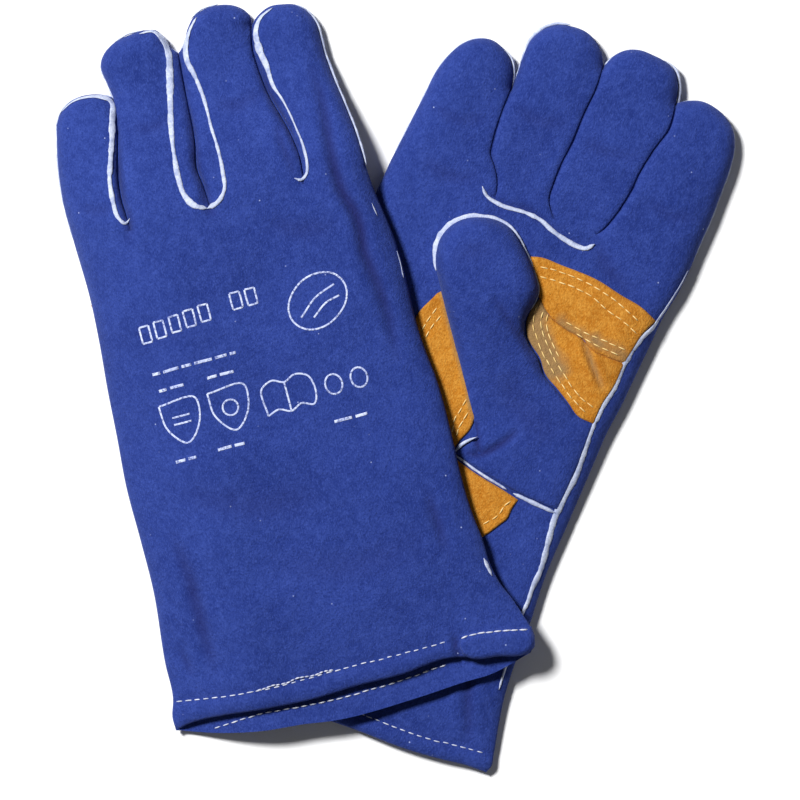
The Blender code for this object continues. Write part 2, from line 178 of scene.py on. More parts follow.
UPPER = {
    "name": "upper",
    "palm_up": False,
    "place": (-21.2, -150.44),
    "turn": 15.0,
    "knuckles": 250.0,
    "palm_side": -1,
    "palm_shift": -26.0,
    "slit_reach": 6.5,
    "slit_floor": 0.42,
    "gusset_depth": 2.2,
    "left": ((-90.5, 3), (-90.5, 10), (-88, 18), (-87, 37), (-83.3, 74), (-83, 99), (-83, 127),
             (-81, 153), (-79.4, 177), (-77.3, 200), (-76, 224)),
    "right": ((91, -4.6), (94.3, 0), (94.5, 6), (92, 15), (89, 24), (85.5, 32), (83, 43), (82.5, 57),
              (81.3, 66), (80.3, 90), (81, 108), (81, 139), (79, 159), (78.6, 170), (79.2, 188),
              (79.3, 201), (78.5, 216), (77, 227), (75.5, 236.6)),
    "top_hem": ((-90.5, 3), (-84, 4.5), (-65, 4.5), (-47, 2.7), (-19.5, 1), (2, 1.8), (25, 1.5),
                (53, 3), (59.5, 1.5), (85, -4), (91, -4.6)),
    "flat_hem": ((-90.5, 3), (-84.6, 1), (-68, -4), (-48, -8), (-27.6, -10), (-14, -12), (29.4, -12),
                 (56, -10.4), (69.3, -10), (81, -7.5), (91, -4.6)),
    "wrist": ((-81.7, 142), (0, 142), (80.9, 142)),
    "fingers": ("little", "ring", "middle", "index"),
    "sides": (
        ((-76.5, 250), (-76.6, 274), (-74, 294), (-72, 303)),
        ((-46.8, 250), (-46.9, 257), (-47.2, 266), (-46, 278), (-43, 290), (-40, 304), (-39, 317.5)),
        ((-5.5, 250), (-6, 262), (-7, 272), (-4.6, 284), (-3.3, 303), (-1.5, 330.5)),
        ((42.5, 250), (44, 263), (43, 274), (40, 287), (37, 298), (35.5, 310), (35, 322),
         (37.3, 334.5)),
        ((74.5, 250), (74.6, 258), (74, 270), (72.3, 285), (70.6, 297.4), (69.3, 311)),
    ),
    "tips": (
        ((-68.7, 313.5), (-63.6, 319), (-56.6, 322), (-50.4, 322), (-44.5, 320.5)),
        ((-40.2, 326), (-41, 334), (-38.7, 338.6), (-32, 343.5), (-24, 345.5), (-14.6, 345.8),
         (-9.5, 344.5), (-6.3, 339.5), (-4.6, 334.5)),
        ((1.5, 333), (6, 341), (11, 346.4), (17, 348.5), (24.5, 348.5), (32, 346), (36.3, 342.3),
         (38.3, 337.5)),
        ((42, 338.5), (49, 341.3), (55.5, 340.6), (61, 339), (66, 334.4), (69, 328), (69.4, 319)),
    ),
    "creases": (
        (((61, 304), (62, 289), (60, 267), (60, 241), (63.6, 228), (63, 206), (65, 193), (66, 173),
          (65, 155)),
         2.4,
         2.6),
        (((-66, 96), (-64, 79), (-64, 51), (-64, 27)), 1.5, 3.2),
        (((-78, 42), (-75, 28)), 1.0, 2.0),
        (((62, 86), (64, 55)), 1.3, 2.6),
        (((36.9, 284), (36.9, 275), (39.5, 255)), 1.1, 1.8),
        (((-6, 262), (-7, 252), (-3, 245)), 1.4, 2.2),
        (((-47, 262), (-47, 252), (-50, 244)), 1.0, 2.4),
        (((-70, 268), (-60, 263), (-50, 264)), 0.6, 3.0),
        (((10, 300), (22, 297), (34, 301)), 0.7, 3.5),
        (((-34, 300), (-24, 297), (-10, 300)), 0.6, 3.0),
        (((-58, 120), (-30, 104), (10, 98)), 0.7, 8.0),
        (((-20, 70), (20, 60), (58, 66)), 0.6, 8.0),
        (((20, 236), (36, 228), (52, 226)), 0.7, 5.0),
        # These four creases also carry painted shade: a dark line beside the hem tab and dark bands
        # along the three slits
        (((57, 13.5), (55.6, 8), (55.8, 1)), 2.2, 1.3),
        (((-42.5, 296), (-45.5, 279), (-47.2, 266), (-47, 253)), 1.5, 1.6),
        (((-3.6, 300), (-5.5, 281), (-7, 270), (-4, 254)), 1.3, 1.6),
        (((36, 318), (38, 296), (41.5, 280), (43.5, 262)), 1.5, 1.6),
    ),
    "stitch_rows": (((-87, 17), (-65, 14), (-43, 12), (0, 12), (30, 11.5), (56, 11.5)),),
    "flat_stitch_rows": (((-72, -1), (-48, 0.5), (-20, -1.7), (20, -1.7), (50, 0.5)),),
}

# The palm's furniture, drawn for the palm-up glove
THUMB_HINGE = {"lower": (3.0, 206.0, 20.0), "upper": (-3.0, 178.0, -20.0)}
THUMB_OUTLINE = (
    ((4.4, 149), (6, 154), (9, 157.6), (12, 160.5), (9, 166)),
    ((9, 166), (-4, 185.6), (-20, 209), (-35.3, 231.4)),
    ((-35.3, 231.4), (-37.4, 236), (-38.7, 241), (-39, 247), (-37.3, 253), (-34, 258), (-29, 262),
     (-23.3, 264.3), (-17.4, 265.6), (-12, 265.4), (-7, 264), (-3, 261.5), (1, 258), (6, 253.4),
     (10, 249), (14, 244), (16.4, 239.5), (16.6, 235), (15.7, 229), (15.2, 223), (17.2, 217)),
    ((17.2, 217), (21.5, 212.3), (27.5, 207.8), (33, 201), (41.6, 195.8), (49, 191.2), (55.8, 186.6),
     (64.2, 185.6)),
    ((64.2, 185.6), (64.6, 171.5), (63.6, 152), (62.4, 140)),
    ((62.4, 140), (51, 140.6), (35.5, 142.2), (17.7, 145.8), (4.4, 149)),
)
PATCH_SEAM = ((69, 220), (60, 220), (51, 221), (46, 224), (36, 226), (27, 229), (18, 236))
THUMB_FOLDS = (
    (((-5, 229), (1, 225), (9, 219), (17, 213.5), (25, 206), (35, 199)), 1.2, 1.9),
    (((9, 150.5), (17, 153), (23, 159), (31, 171)), 2.2, 1.7),
    (((8.5, 168), (12, 160), (17, 152.5)), 2.4, 1.4),
    (((-30, 238), (-22, 246), (-10, 250)), 0.5, 5.0),
    (((14, 196), (30, 180), (50, 172)), 0.6, 7.0),
)
PATCHES = {
    "palm_patch_upper": (
        ((6, 254), (10.3, 255.4), (23.5, 255.5), (42, 254.7), (56.4, 251.5), (67, 249.5),
         (76.6, 245.5)),
        ((76.6, 245.5), (73, 238), (70.6, 228), (69, 220)),
        PATCH_SEAM,
        ((18, 236), (12, 243), (6, 254)),
    ),
    "palm_patch_lower": (
        ((18, 236), (16, 230), (15.7, 223), (17.6, 217.7), (22, 213), (28, 208.6), (33.6, 201.6),
         (42, 196.6), (49.3, 192), (56, 187.4), (64.7, 186.4)),
        ((64.7, 186.4), (65.6, 197), (68.2, 208), (69, 220)),
        PATCH_SEAM,
    ),
    "crotch_patch": (
        ((-31, 221), (-37, 205), (-32, 190), (-24, 170), (-18, 150)),
        ((-18, 150), (-8, 149.5), (3.4, 150)),
        ((3.4, 150), (5, 156), (7.6, 162), (8.4, 170)),
        ((8.4, 170), (-2, 186), (-16, 206), (-28, 224), (-31, 221)),
    ),
    "wrist_patch": (
        ((4.4, 147), (17.7, 143.2), (35.5, 139.6), (42.4, 138)),
        ((42.4, 138), (41, 132.6), (40.5, 127), (38, 123), (34.4, 117.4), (32, 114.3)),
        ((32, 114.3), (18, 112), (0, 114), (-16, 118)),
        ((-16, 118), (-17, 132), (-14, 146), (4.4, 147)),
    ),
}
PATCH_ROWS = {
    "palm_patch_upper": (
        ((12.4, 251), (22, 252), (36, 251.5), (50.3, 249), (62, 245), (72, 240.5)),
        ((14, 246.7), (27.6, 247.3), (41.4, 246), (53, 241.7), (63, 239), (70.5, 236)),
        ((34, 229.5), (46, 227.6), (58, 227.2), (68.5, 226.5)),
        ((41, 226), (52, 223.8), (60, 223.2), (67.5, 222.6)),
    ),
    "palm_patch_lower": (
        ((18.4, 233), (18, 229), (19.4, 223), (23.6, 217), (29.4, 210.5), (37, 204), (43.6, 199),
         (52.6, 193.4), (61.4, 189.6)),
        ((22, 231), (22, 227.7), (25, 221), (30.4, 215), (37, 208.7), (44.3, 203), (52, 197.7),
         (63, 193.6)),
        ((24.6, 230.5), (25, 227), (27.8, 221.6), (32.4, 216.6), (38, 211.6)),
    ),
    "crotch_patch": (
        ((-28.6, 214.6), (-31, 206), (-32, 200.6)),
        ((-25.4, 211.6), (-28, 203), (-29, 196)),
        ((1, 177), (0, 171), (-1, 165), (-0.4, 159), (0, 153)),
        ((4.2, 171), (3, 166), (2, 161), (3, 154)),
    ),
    "wrist_patch": (((39.4, 136.5), (37, 133), (35.7, 127.7), (32, 122.5), (27, 117)),),
}

# Stained places on the patches, and on the crotch patch a painted shadow along the thumb's edge: path,
# strength and how far it fades, mm
STAINS_AND_SHADOW = {
    "palm_patch_lower": (((18, 237), (18, 229), (20, 221), (26, 213), (36, 205)), 1.75, 6.0),
    "palm_patch_upper": (((32, 229), (46, 225.5), (58, 225), (67, 224)), 0.85, 6.0),
    # Painted shadow where the thumb's edge lies over the crotch patch
    "crotch_patch": (((10, 165), (-3.6, 185.6), (-19.6, 209), (-35, 231.4)), 1.0, 2.0),
}

# Seam strips that lie on the domed side: path, width
TOP_WELTS = {
    "lower": {
        "little_side_welt": (
            (((83.2, 275), (82.2, 268), (80.4, 259), (78.2, 248.5), (76.2, 241.5), (73, 236),
              (70.6, 228), (69, 219), (68.3, 208), (66.4, 197.5), (65.4, 187)),
             (0.5, 0.6, 0.8, 1.0, 2.0, 2.9, 3.1, 3.1, 2.9, 2.7, 2.7)),
            (((65.4, 188), (65, 171.5), (65.5, 161.7), (64.2, 150), (62.9, 136), (63.2, 128),
              (64.6, 115), (65.1, 107.8), (64.3, 99.5), (64.4, 90.5), (63.6, 82), (64.5, 68),
              (65.3, 54), (66, 45.3)),
             (2.7, 2.7, 2.8, 3.1, 3.3, 3.1, 2.8, 2.4, 2.2, 2.0, 1.9, 1.7, 1.4, 0.8)),
        ),
        "finger_seam_welt": (
            (((-28, 279), (-25, 275.7), (-17.6, 273.5), (-2, 274), (5.5, 273), (12, 270.3), (21, 268),
              (27, 267), (31, 267.3), (34.6, 271)),
             (1.3, 1.8, 2.0, 2.0, 2.3, 2.1, 2.2, 2.7, 2.6, 1.8)),
        ),
    },
    "upper": {
        "little_welt": (
            (((-66, 317), (-60, 320), (-54, 321), (-46, 319.6), (-40.8, 316.5), (-42.6, 303),
              (-46.4, 290), (-50.3, 278), (-51.6, 265), (-51, 257.5), (-48.4, 254), (-45.6, 256)),
             (0.6, 0.9, 1.3, 2.0, 2.9, 3.3, 3.0, 2.5, 2.3, 2.5, 2.2, 1.2)),
        ),
        "ring_welt": (
            (((-18, 344.6), (-11, 344), (-7.4, 339), (-6.3, 332), (-8.4, 320), (-12, 305), (-15, 290),
              (-17, 269), (-16.4, 260), (-13, 253.6), (-7, 250.4)),
             (0.9, 1.9, 3.3, 3.7, 3.2, 2.8, 2.5, 2.3, 2.5, 2.7, 2.5)),
        ),
        "middle_welt": (
            (((-7, 250.4), (-1.3, 252), (3.5, 257), (5, 266), (5.6, 278), (5, 290), (5.2, 300),
              (3.4, 318), (1.9, 325), (2.6, 332), (6.6, 339.5), (12, 345)),
             (2.5, 2.3, 2.1, 1.8, 1.6, 1.5, 1.6, 1.9, 2.4, 2.6, 1.7, 0.8)),
        ),
        "index_welt": (
            (((38.6, 254), (41.5, 252.2), (44.5, 254), (46.6, 260), (47, 267), (46, 276.5), (43, 293),
              (40.4, 301), (39.4, 312.6), (38.1, 322.6), (39, 331), (43, 336.6), (50, 339.6)),
             (1.2, 1.7, 1.6, 1.2, 1.0, 1.0, 1.3, 2.0, 3.1, 3.4, 2.7, 1.7, 0.8)),
        ),
        "index_side_welt": (
            (((80.6, 47), (81.4, 42.3), (82.2, 37.4)), 1.5),
            (((78.3, 206), (78.6, 200), (78.4, 192)), 0.6),
            (((72.4, 232), (73.6, 225)), 0.6),
        ),
    },
}

# Seam strips that stand out of the outline itself: path, width
EDGE_WELTS = {
    "lower": {
        "middle": (
            ((-31.3, 344), (-30.4, 357), (-26.6, 364.4), (-20.8, 368.7), (-13.6, 370.4)),
            (0.8, 1.4, 1.8, 1.6, 0.8),
        ),
        "ring": (
            ((36, 369.8), (42.9, 367.5), (47.1, 361.8), (49.5, 353), (49.9, 345), (49.4, 338)),
            (0.6, 1.2, 1.7, 1.7, 1.4, 0.8),
        ),
        "index": (((-40, 347), (-36.6, 344.9), (-32.7, 338.8), (-30.7, 331)), (0.6, 1.0, 1.1, 0.8)),
    },
    "upper": {
        "index": (
            ((61, 339.2), (66.3, 334.5), (69.3, 328), (69.7, 319), (69.6, 311), (70.8, 297.4),
             (72.5, 285), (74.3, 270), (74.9, 258), (74.8, 251)),
            (0.6, 1.0, 1.3, 1.5, 1.6, 1.6, 1.5, 1.5, 1.3, 1.0),
        ),
        "little": (((-70, 311), (-66, 317.2), (-60, 321), (-54, 322.2)), 0.7),
        "ring": (((-31, 344), (-24, 345.9), (-15, 346)), 0.7),
        "middle": (((9, 345.4), (15, 348.3), (24, 348.9)), 0.8),
    },
}

# The upper glove's hem: its mended stretch, and the tab at its end with a row of stitches.
# The tab starts below the domed side and rises over a round edge, mm
TAB_SINK = 1.6
TAB_RISE = 4.2
TAB_ROUND = 2.2
HEM_TAB = (
    ((60, 13.2), (57.6, 9), (57.8, 3.4)),
    ((57.8, 3.4), (61, 0.6), (75, -2.2), (88, -4.6), (93.4, -2.6), (95.2, 3)),
    ((95.2, 3), (94.8, 8)),
    ((94.8, 8), (86, 10.2), (77, 12), (69, 13.2), (60, 13.2)),
)
HEM_MEND = ((-46, 12.4), (-38, 12.9), (-31, 12.3), (-24, 13.2), (-17, 12.5), (-11, 13.1),
            (-4, 12.2))
HEM_TAB_ROW = ((59, 11.2), (62, 11.7), (69, 11.4), (76, 10.3), (85, 8.7), (93.6, 6.7))

# A hem's rounded edge, its swell between edge and stitches, and the grooves of stitch rows, mm
HEM_DROP = 2.2
HEM_ROUND = 2.4
HEM_SWELL = 0.55
GROOVE = 0.75
GROOVE_HALF = 1.5
PUCKER = 0.12
ROW_GROOVE = 0.38
ROW_GROOVE_HALF = 0.9
STITCH = 3.5
STITCH_GAP = 1.0

RNG = np.random.default_rng(11)


# ---------------------------------------------------------------- plane curves
def ease(t):
    """A cosine step from 0 at t = 0 to 1 at t = 1."""
    return (1 - np.cos(np.pi * np.clip(t, 0.0, 1.0))) / 2


def smooth(path, step):
    """Points about step apart on a smooth curve through a path's points."""
    p = np.array(path, float)
    gaps = np.linalg.norm(np.diff(p, axis=0), axis=1)
    t = np.concatenate([[0.0], np.cumsum(gaps)])
    slope = np.gradient(p, t, axis=0)
    at = np.linspace(0, t[-1], max(int(round(t[-1] / step)), 1) + 1)
    i = np.clip(np.searchsorted(t, at, side="right") - 1, 0, len(t) - 2)
    u = ((at - t[i]) / gaps[i])[:, None]
    h = gaps[i][:, None]
    return (p[i] * (2 * u ** 3 - 3 * u ** 2 + 1) + slope[i] * h * (u ** 3 - 2 * u ** 2 + u)
            + p[i + 1] * (3 * u ** 2 - 2 * u ** 3) + slope[i + 1] * h * (u ** 3 - u ** 2))


def joined(paths, step):
    """One closed outline from paths that meet end to end."""
    return np.vstack([smooth(path, step)[:-1] for path in paths])


def nearest(points, path):
    """Distance from each point to a path, and how far along the path from 0 to 1."""
    best = np.full(len(points), np.inf)
    place = np.zeros(len(points))
    steps = np.diff(path, axis=0)
    for k, (start, step) in enumerate(zip(path[:-1], steps)):
        t = np.clip(((points - start) @ step) / (step @ step), 0, 1)
        gap = points - start - t[:, None] * step
        d = np.hypot(gap[:, 0], gap[:, 1])
        closer = d < best
        best[closer] = d[closer]
        place[closer] = (k + t[closer]) / len(steps)
    return best, place


def inside(points, outline):
    """Which points lie inside a closed outline, by counting crossings."""
    x, y = points[:, 0], points[:, 1]
    odd = np.zeros(len(points), bool)
    for (ax, ay), (bx, by) in zip(outline, np.roll(outline, -1, axis=0)):
        if ay == by:
            continue
        crosses = (ay > y) != (by > y)
        odd ^= crosses & (x < (bx - ax) * (y - ay) / (by - ay) + ax)
    return odd


def sideways(path):
    """Unit vectors to the left of a path at each of its points."""
    along = np.gradient(path, axis=0)
    along /= np.linalg.norm(along, axis=1)[:, None]
    return np.column_stack([-along[:, 1], along[:, 0]])


def fill(outline, step):
    """Triangles that fill an outline, with two close rows of points inside its rim."""
    closed = np.vstack([outline, outline[:1]])
    around = np.roll(outline, -1, axis=0) - np.roll(outline, 1, axis=0)
    around /= np.linalg.norm(around, axis=1)[:, None]
    inward = np.column_stack([-around[:, 1], around[:, 0]])
    area = np.cross(outline, np.roll(outline, -1, axis=0)).sum()
    rows = []
    for inset in (RIM_INSET, SECOND_INSET):
        rim = outline + inward * inset * math.copysign(1, area)
        rim = rim[inside(rim, outline)]
        rows.append(rim[nearest(rim, closed)[0] > 0.8 * inset])
    low, high = outline.min(0), outline.max(0)
    lines = []
    for r, y in enumerate(np.arange(low[1], high[1], step * ROW_HEIGHT)):
        xs = np.arange(low[0] + (r % 2) * step / 2, high[0], step)
        lines.append(np.column_stack([xs, np.full(len(xs), y)]))
    inner = np.vstack(lines)
    inner = inner[inside(inner, outline)]
    inner = inner[nearest(inner, closed)[0] > SECOND_INSET + 0.45 * step]
    flat = [Vector(p) for p in np.vstack([outline, *rows, inner])]
    found = geometry.delaunay_2d_cdt(flat, [], [list(range(len(outline)))], 1, 1e-5)
    return np.array([v[:] for v in found[0]]), [tuple(face) for face in found[2]]


def uneven(points, wide, tall, seed):
    """Smooth noise at each point, with swells about wide by tall mm."""
    return np.array([noise.noise(Vector((x / wide, y / tall, seed))) for x, y in points])


def waves(points, seed):
    """Soft unevenness of the leather, in mm."""
    return (1.9 * uneven(points, 55, 75, seed) + 0.75 * uneven(points, 21, 27, seed + 5)
            + 0.22 * uneven(points, 8, 9, seed + 9))


def rounding(distance, reach):
    """0 at an edge and 1 well inside it, steep at first like a stuffed seam."""
    return np.sqrt(1 - np.exp(-2 * distance / reach))


# ---------------------------------------------------------------------- gloves
class Glove:
    """The surfaces of one glove as heights over its own (x, y) plane, in mm."""

    def __init__(self, data):
        self.data = data
        self.name = data["name"]
        self.palm_up = data["palm_up"]
        self.knuckles = data["knuckles"]
        sides = data["sides"]
        ends = [side[-1] for side in sides]
        self.left = smooth((*data["left"], sides[0][0]), RIM_STEP)
        self.right = smooth((*data["right"], sides[-1][0]), RIM_STEP)
        self.sides = [smooth(side, RIM_STEP) for side in sides]
        self.tips = [smooth((start, *tip, end), RIM_STEP)
                     for start, tip, end in zip(ends, data["tips"], ends[1:])]
        below = [np.vstack([edge[:1] + [0.0, -30.0], edge]) for edge in (self.left, self.right)]
        self.outer = below + [self.sides[0], self.sides[-1]] + self.tips
        self.slits = self.sides[1:-1]
        self.creases = [(smooth(path, 4.0), depth, half) for path, depth, half in data["creases"]]
        self.angle = math.radians(data["turn"])

    def to_world(self, points):
        """World metres of glove-frame millimetres."""
        c, s = math.cos(self.angle), math.sin(self.angle)
        x, y, z = points.T
        px, py = self.data["place"]
        return np.column_stack([px + x * c - y * s, py + x * s + y * c, z]) * MM

    def lift(self, p):
        """Height of the flat side above the table."""
        if self.palm_up:
            return np.zeros(len(p))
        x, y = p.T
        start = LIFT_START + LIFT_SHIFT * ease(y / WRIST_SEAM)
        top = CUFF_LIFT + (HAND_LIFT - CUFF_LIFT) * ease((y - RISE_START) / RISE_RUN)
        down = ease((y - self.knuckles) / (FINGERS_DOWN - self.knuckles))
        return top * ease((x - start) / LIFT_RAMP) * (1 - down)

    def rim_distance(self, p):
        """Distance to the nearest outer rim or slit between fingers."""
        return np.min([nearest(p, path)[0] for path in self.outer + self.slits], axis=0)

    def fullness(self, p, walls):
        """0 at the rim, rising steeply to 1 well inside it, with a valley at each slit.

        With walls the leather drops to the seam in the slit; without, it runs across.
        """
        outer = np.min([nearest(p, path)[0] for path in self.outer], axis=0)
        fingers = ease((p[:, 1] - self.knuckles + FINGER_START) / FINGER_RUN)
        reach = HAND_REACH + (FINGER_REACH - HAND_REACH) * fingers
        full = rounding(outer, reach)
        valley = np.ones(len(p))
        for slit in self.slits:
            d, place = nearest(p, slit)
            root = 1 - ease(place * len(slit) * RIM_STEP / SLIT_RUN)
            wall = ease((d + SLIT_WALL * root) / SLIT_WALL) if walls else 1.0
            bank = rounding(d, self.data["slit_reach"])
            low = 1 - (1 - self.data["slit_floor"]) * (1 - SLIT_FADE * root)
            valley = np.minimum(valley, wall * (low + (1 - low) * bank))
        return full * valley

    def folds(self, p):
        """Depth of the creases (mm) and the painted shade in them (0 to 1)."""
        deep = np.zeros(len(p))
        dark = np.zeros(len(p))
        for path, depth, half in self.creases:
            d, place = nearest(p, path)
            taper = np.sin(np.pi * np.clip(place, 0.02, 0.98)) ** 0.6
            valley = np.exp(-(d / half) ** 2) * taper
            shoulder = np.exp(-((d - 2.4 * half) / (1.3 * half)) ** 2) * taper
            deep += depth * (valley - SHOULDER * shoulder)
            # Painted shade of a crease: the deeper it is, the darker it is painted
            dark = np.maximum(dark, valley * min(depth / FULL_DARK, 1.0))
        return deep, dark

    def top(self, p, walls=True):
        """Height of the domed side."""
        full = self.fullness(p, walls)
        stations, values = zip(*CROWN)
        crown = np.interp(p[:, 1], stations, values)
        relief = waves(p, 3.0 if self.palm_up else 17.0) - self.folds(p)[0]
        return self.lift(p) + SEAM + full * (crown - SEAM + relief)

    def flat(self, p):
        """Height of the flat side, turned up to the seam at the rim."""
        d = self.rim_distance(p)
        return self.lift(p) + SEAM * np.exp(-d / FLAT_REACH)

    def palm_plan(self, points):
        """Plan points drawn for the palm-up glove, on this glove."""
        side = self.data["palm_side"]
        return np.array(points, float) * (side, 1) + (0, self.data["palm_shift"])

    def palm(self, p, above):
        """Height of the palm's outer face, moved outwards by above."""
        if self.palm_up:
            return self.top(p) + above
        return self.flat(p) - above

    def along(self, strand, low, high):
        """The stretch of a side between two values of y."""
        y = strand[:, 1]
        return strand[(y > low + 0.3) & (y < high - 0.3)]

    def band(self, low, high):
        """Outline of the hand between two paths that run from left to right."""
        left = self.along(self.left, low[0][1], high[0][1])
        right = self.along(self.right, low[-1][1], high[-1][1])
        return np.vstack([low, right, high[::-1], left[::-1]])

    def roots(self):
        """The knuckle line as one row of points for each finger."""
        ends = [side[0] for side in self.sides]
        return [smooth((a, b), RIM_STEP) for a, b in zip(ends, ends[1:])]

    def knuckle_line(self):
        """The whole knuckle line from left to right."""
        rows = self.roots()
        return np.vstack([row[:-1] for row in rows] + [rows[-1][-1:]])

    def finger_outline(self, k):
        """Closed outline of the k-th finger, from its root round its tip."""
        root = self.roots()[k]
        right = self.sides[k + 1][::-1]
        return np.vstack([root[::-1][:-1], self.sides[k], self.tips[k][1:], right[1:-1]])

    def bend_of(self, digit):
        """The two bodies and the two points between which a digit's root bends."""
        if digit == "thumb":
            hinge, _, ahead = thumb_axes(self)
            start, end = hinge - THUMB_BEND[0] * ahead, hinge + THUMB_BEND[1] * ahead
        else:
            k = self.data["fingers"].index(digit)
            start = self.roots()[k].mean(0)
            end = start + (0, BEND_RUN)
        points = self.to_world(np.array([[*start, 0], [*end, 0]]))
        bodies = [self.name + "_glove", self.name + "_" + digit]
        return bodies, [tuple(map(float, point)) for point in points]


# --------------------------------------------------------------- making pieces
class Shape:
    """Points and faces of one mesh, gathered from several bits."""

    def __init__(self):
        self.points = []
        self.faces = []

    def add(self, points, faces):
        start = len(self.points)
        self.points += [tuple(p) for p in points]
        self.faces += [tuple(start + i for i in face) for face in faces]

    def tube(self, centres, across, up, sides=10):
        """A capped tube: rings about centres, spread by two vectors at each."""
        turn = np.linspace(0, 2 * np.pi, sides, endpoint=False)
        rings = (centres[:, None] + across[:, None] * np.cos(turn)[None, :, None]
                 + up[:, None] * np.sin(turn)[None, :, None])
        count = len(centres)
        points = np.vstack([rings.reshape(-1, 3), centres[:1], centres[-1:]])
        first, last = count * sides, count * sides + 1
        faces = []
        for j in range(sides):
            n = (j + 1) % sides
            faces += [(first, n, j)]
            end = (count - 1) * sides
            faces += [(last, end + j, end + n)]
            for i in range(count - 1):
                a = i * sides
                faces += [(a + j, a + n, a + sides + n, a + sides + j)]
        self.add(points, faces)


def vertex_normals(points, faces):
    """Unit vectors out of a surface of triangles at each of its points."""
    normals = np.zeros_like(points)
    corners = np.array(faces)
    a, b, c = (points[corners[:, k]] for k in range(3))
    across = np.cross(b - a, c - a)
    for k in range(3):
        np.add.at(normals, corners[:, k], across)
    return normals / np.maximum(np.linalg.norm(normals, axis=1), 1e-9)[:, None]


def shell(points, faces, thick):
    """A sheet of triangles made closed: its two sides and the cut edge between."""
    count = len(points)
    inner = points - vertex_normals(points, faces) * thick
    border = set()
    for face in faces:
        for a, b in zip(face, face[1:] + face[:1]):
            if (b, a) in border:
                border.remove((b, a))
            else:
                border.add((a, b))
    border = sorted(border)
    closed = faces + [tuple(count + i for i in face[::-1]) for face in faces]
    closed += [(b, a, count + a, count + b) for a, b in border]
    sharp = {frozenset(edge) for edge in border}
    sharp |= {frozenset((count + a, count + b)) for a, b in border}
    return np.vstack([points, inner]), closed, sharp


def make(glove, name, shape, finish, body, stands_for=None, thick=0.0, shade=None, normals=None):
    """One piece from glove-frame points. For a digit's piece the bodies and ends of its root's bend are
    worked out, and the piece is baked in place.

    It stands for the CAD node of its own name unless stands_for names others or none.
    """
    full_name = glove.name + "_" + name
    local = np.array(shape.points, float)
    faces = shape.faces
    values = np.zeros(len(local)) if shade is None else shade
    sharp = set()
    if thick:
        local, faces, sharp = shell(local, faces, thick)
        values = np.concatenate([values, values])
    mesh = bpy.data.meshes.new(full_name)
    mesh.from_pydata(glove.to_world(local).tolist(), [], faces)
    mesh.shade_smooth()
    creased = mesh.attributes.new("sharp_edge", "BOOLEAN", "EDGE")
    creased.data.foreach_set("value", [frozenset(e.vertices) in sharp for e in mesh.edges])
    if normals:
        set_normals(mesh, len(shape.faces), normals)
    rest = mesh.attributes.new("rest", "FLOAT_VECTOR", "POINT")
    rest.data.foreach_set("vector", (local * MM).astype(np.float32).ravel())
    # The shade attribute: painted shade in creases, folds and slits, and on the patches real stains and
    # a painted shadow
    tone_mask = mesh.attributes.new("shade", "FLOAT", "POINT")
    tone_mask.data.foreach_set("value", values.astype(np.float32))
    mesh.materials.append(finish)
    piece = bpy.data.objects.new(full_name, mesh)
    bpy.context.scene.collection.objects.link(piece)
    if body == "glove":
        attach(piece, glove.name + "_glove")
    else:
        bodies, ends = glove.bend_of(body)
        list(bodies)
        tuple(ends[0])
        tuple(ends[1])
        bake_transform(piece)
    nodes = (name,) if stands_for is None else stands_for
    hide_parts(*[glove.name + "_" + node for node in nodes])
    return piece


def set_normals(mesh, outer_faces, normals):
    """Give the outer corners of some points the surface's own direction."""
    corners = [Vector(corner.vector) for corner in mesh.corner_normals]
    for face in mesh.polygons[:outer_faces]:
        for loop in face.loop_indices:
            vertex = mesh.loops[loop].vertex_index
            if vertex in normals:
                corners[loop] = normals[vertex]
    mesh.normals_split_custom_set(corners)


def knuckle_normals(glove, plan, level, side):
    """Directions along the knuckle line, the same for the hand and the finger."""
    on_line = np.where(np.abs(plan[:, 1] - glove.knuckles) < 0.05)[0]
    if len(on_line) == 0:
        return {}
    on_line = on_line[glove.rim_distance(plan[on_line]) > 1.5]
    p = plan[on_line]
    reach = 1.2
    slope = [(level(p + move) - level(p - move)) / (2 * reach) for move in ((reach, 0), (0, reach))]
    c, s = math.cos(glove.angle), math.sin(glove.angle)
    x, y = -slope[0] * side, -slope[1] * side
    turned = np.column_stack([x * c - y * s, x * s + y * c, np.full(len(p), side)])
    return {int(i): Vector(n).normalized() for i, n in zip(on_line, turned)}


def sheet(glove, name, outline, level, step, finish, body, down=False, **rest):
    """A leather sheet over an outline, at the heights that level gives."""
    plan, faces = fill(outline, step)
    shape = Shape()
    if down:
        faces = [face[::-1] for face in faces]
    shape.add(np.column_stack([plan, level(plan)]), faces)
    # Painted shade: the domed sheets are darkened in their creases and slits
    shade = None if down else glove.folds(plan)[1]
    normals = knuckle_normals(glove, plan, level, -1 if down else 1)
    return make(glove, name, shape, finish, body, thick=LEATHER, shade=shade, normals=normals,
                **rest)


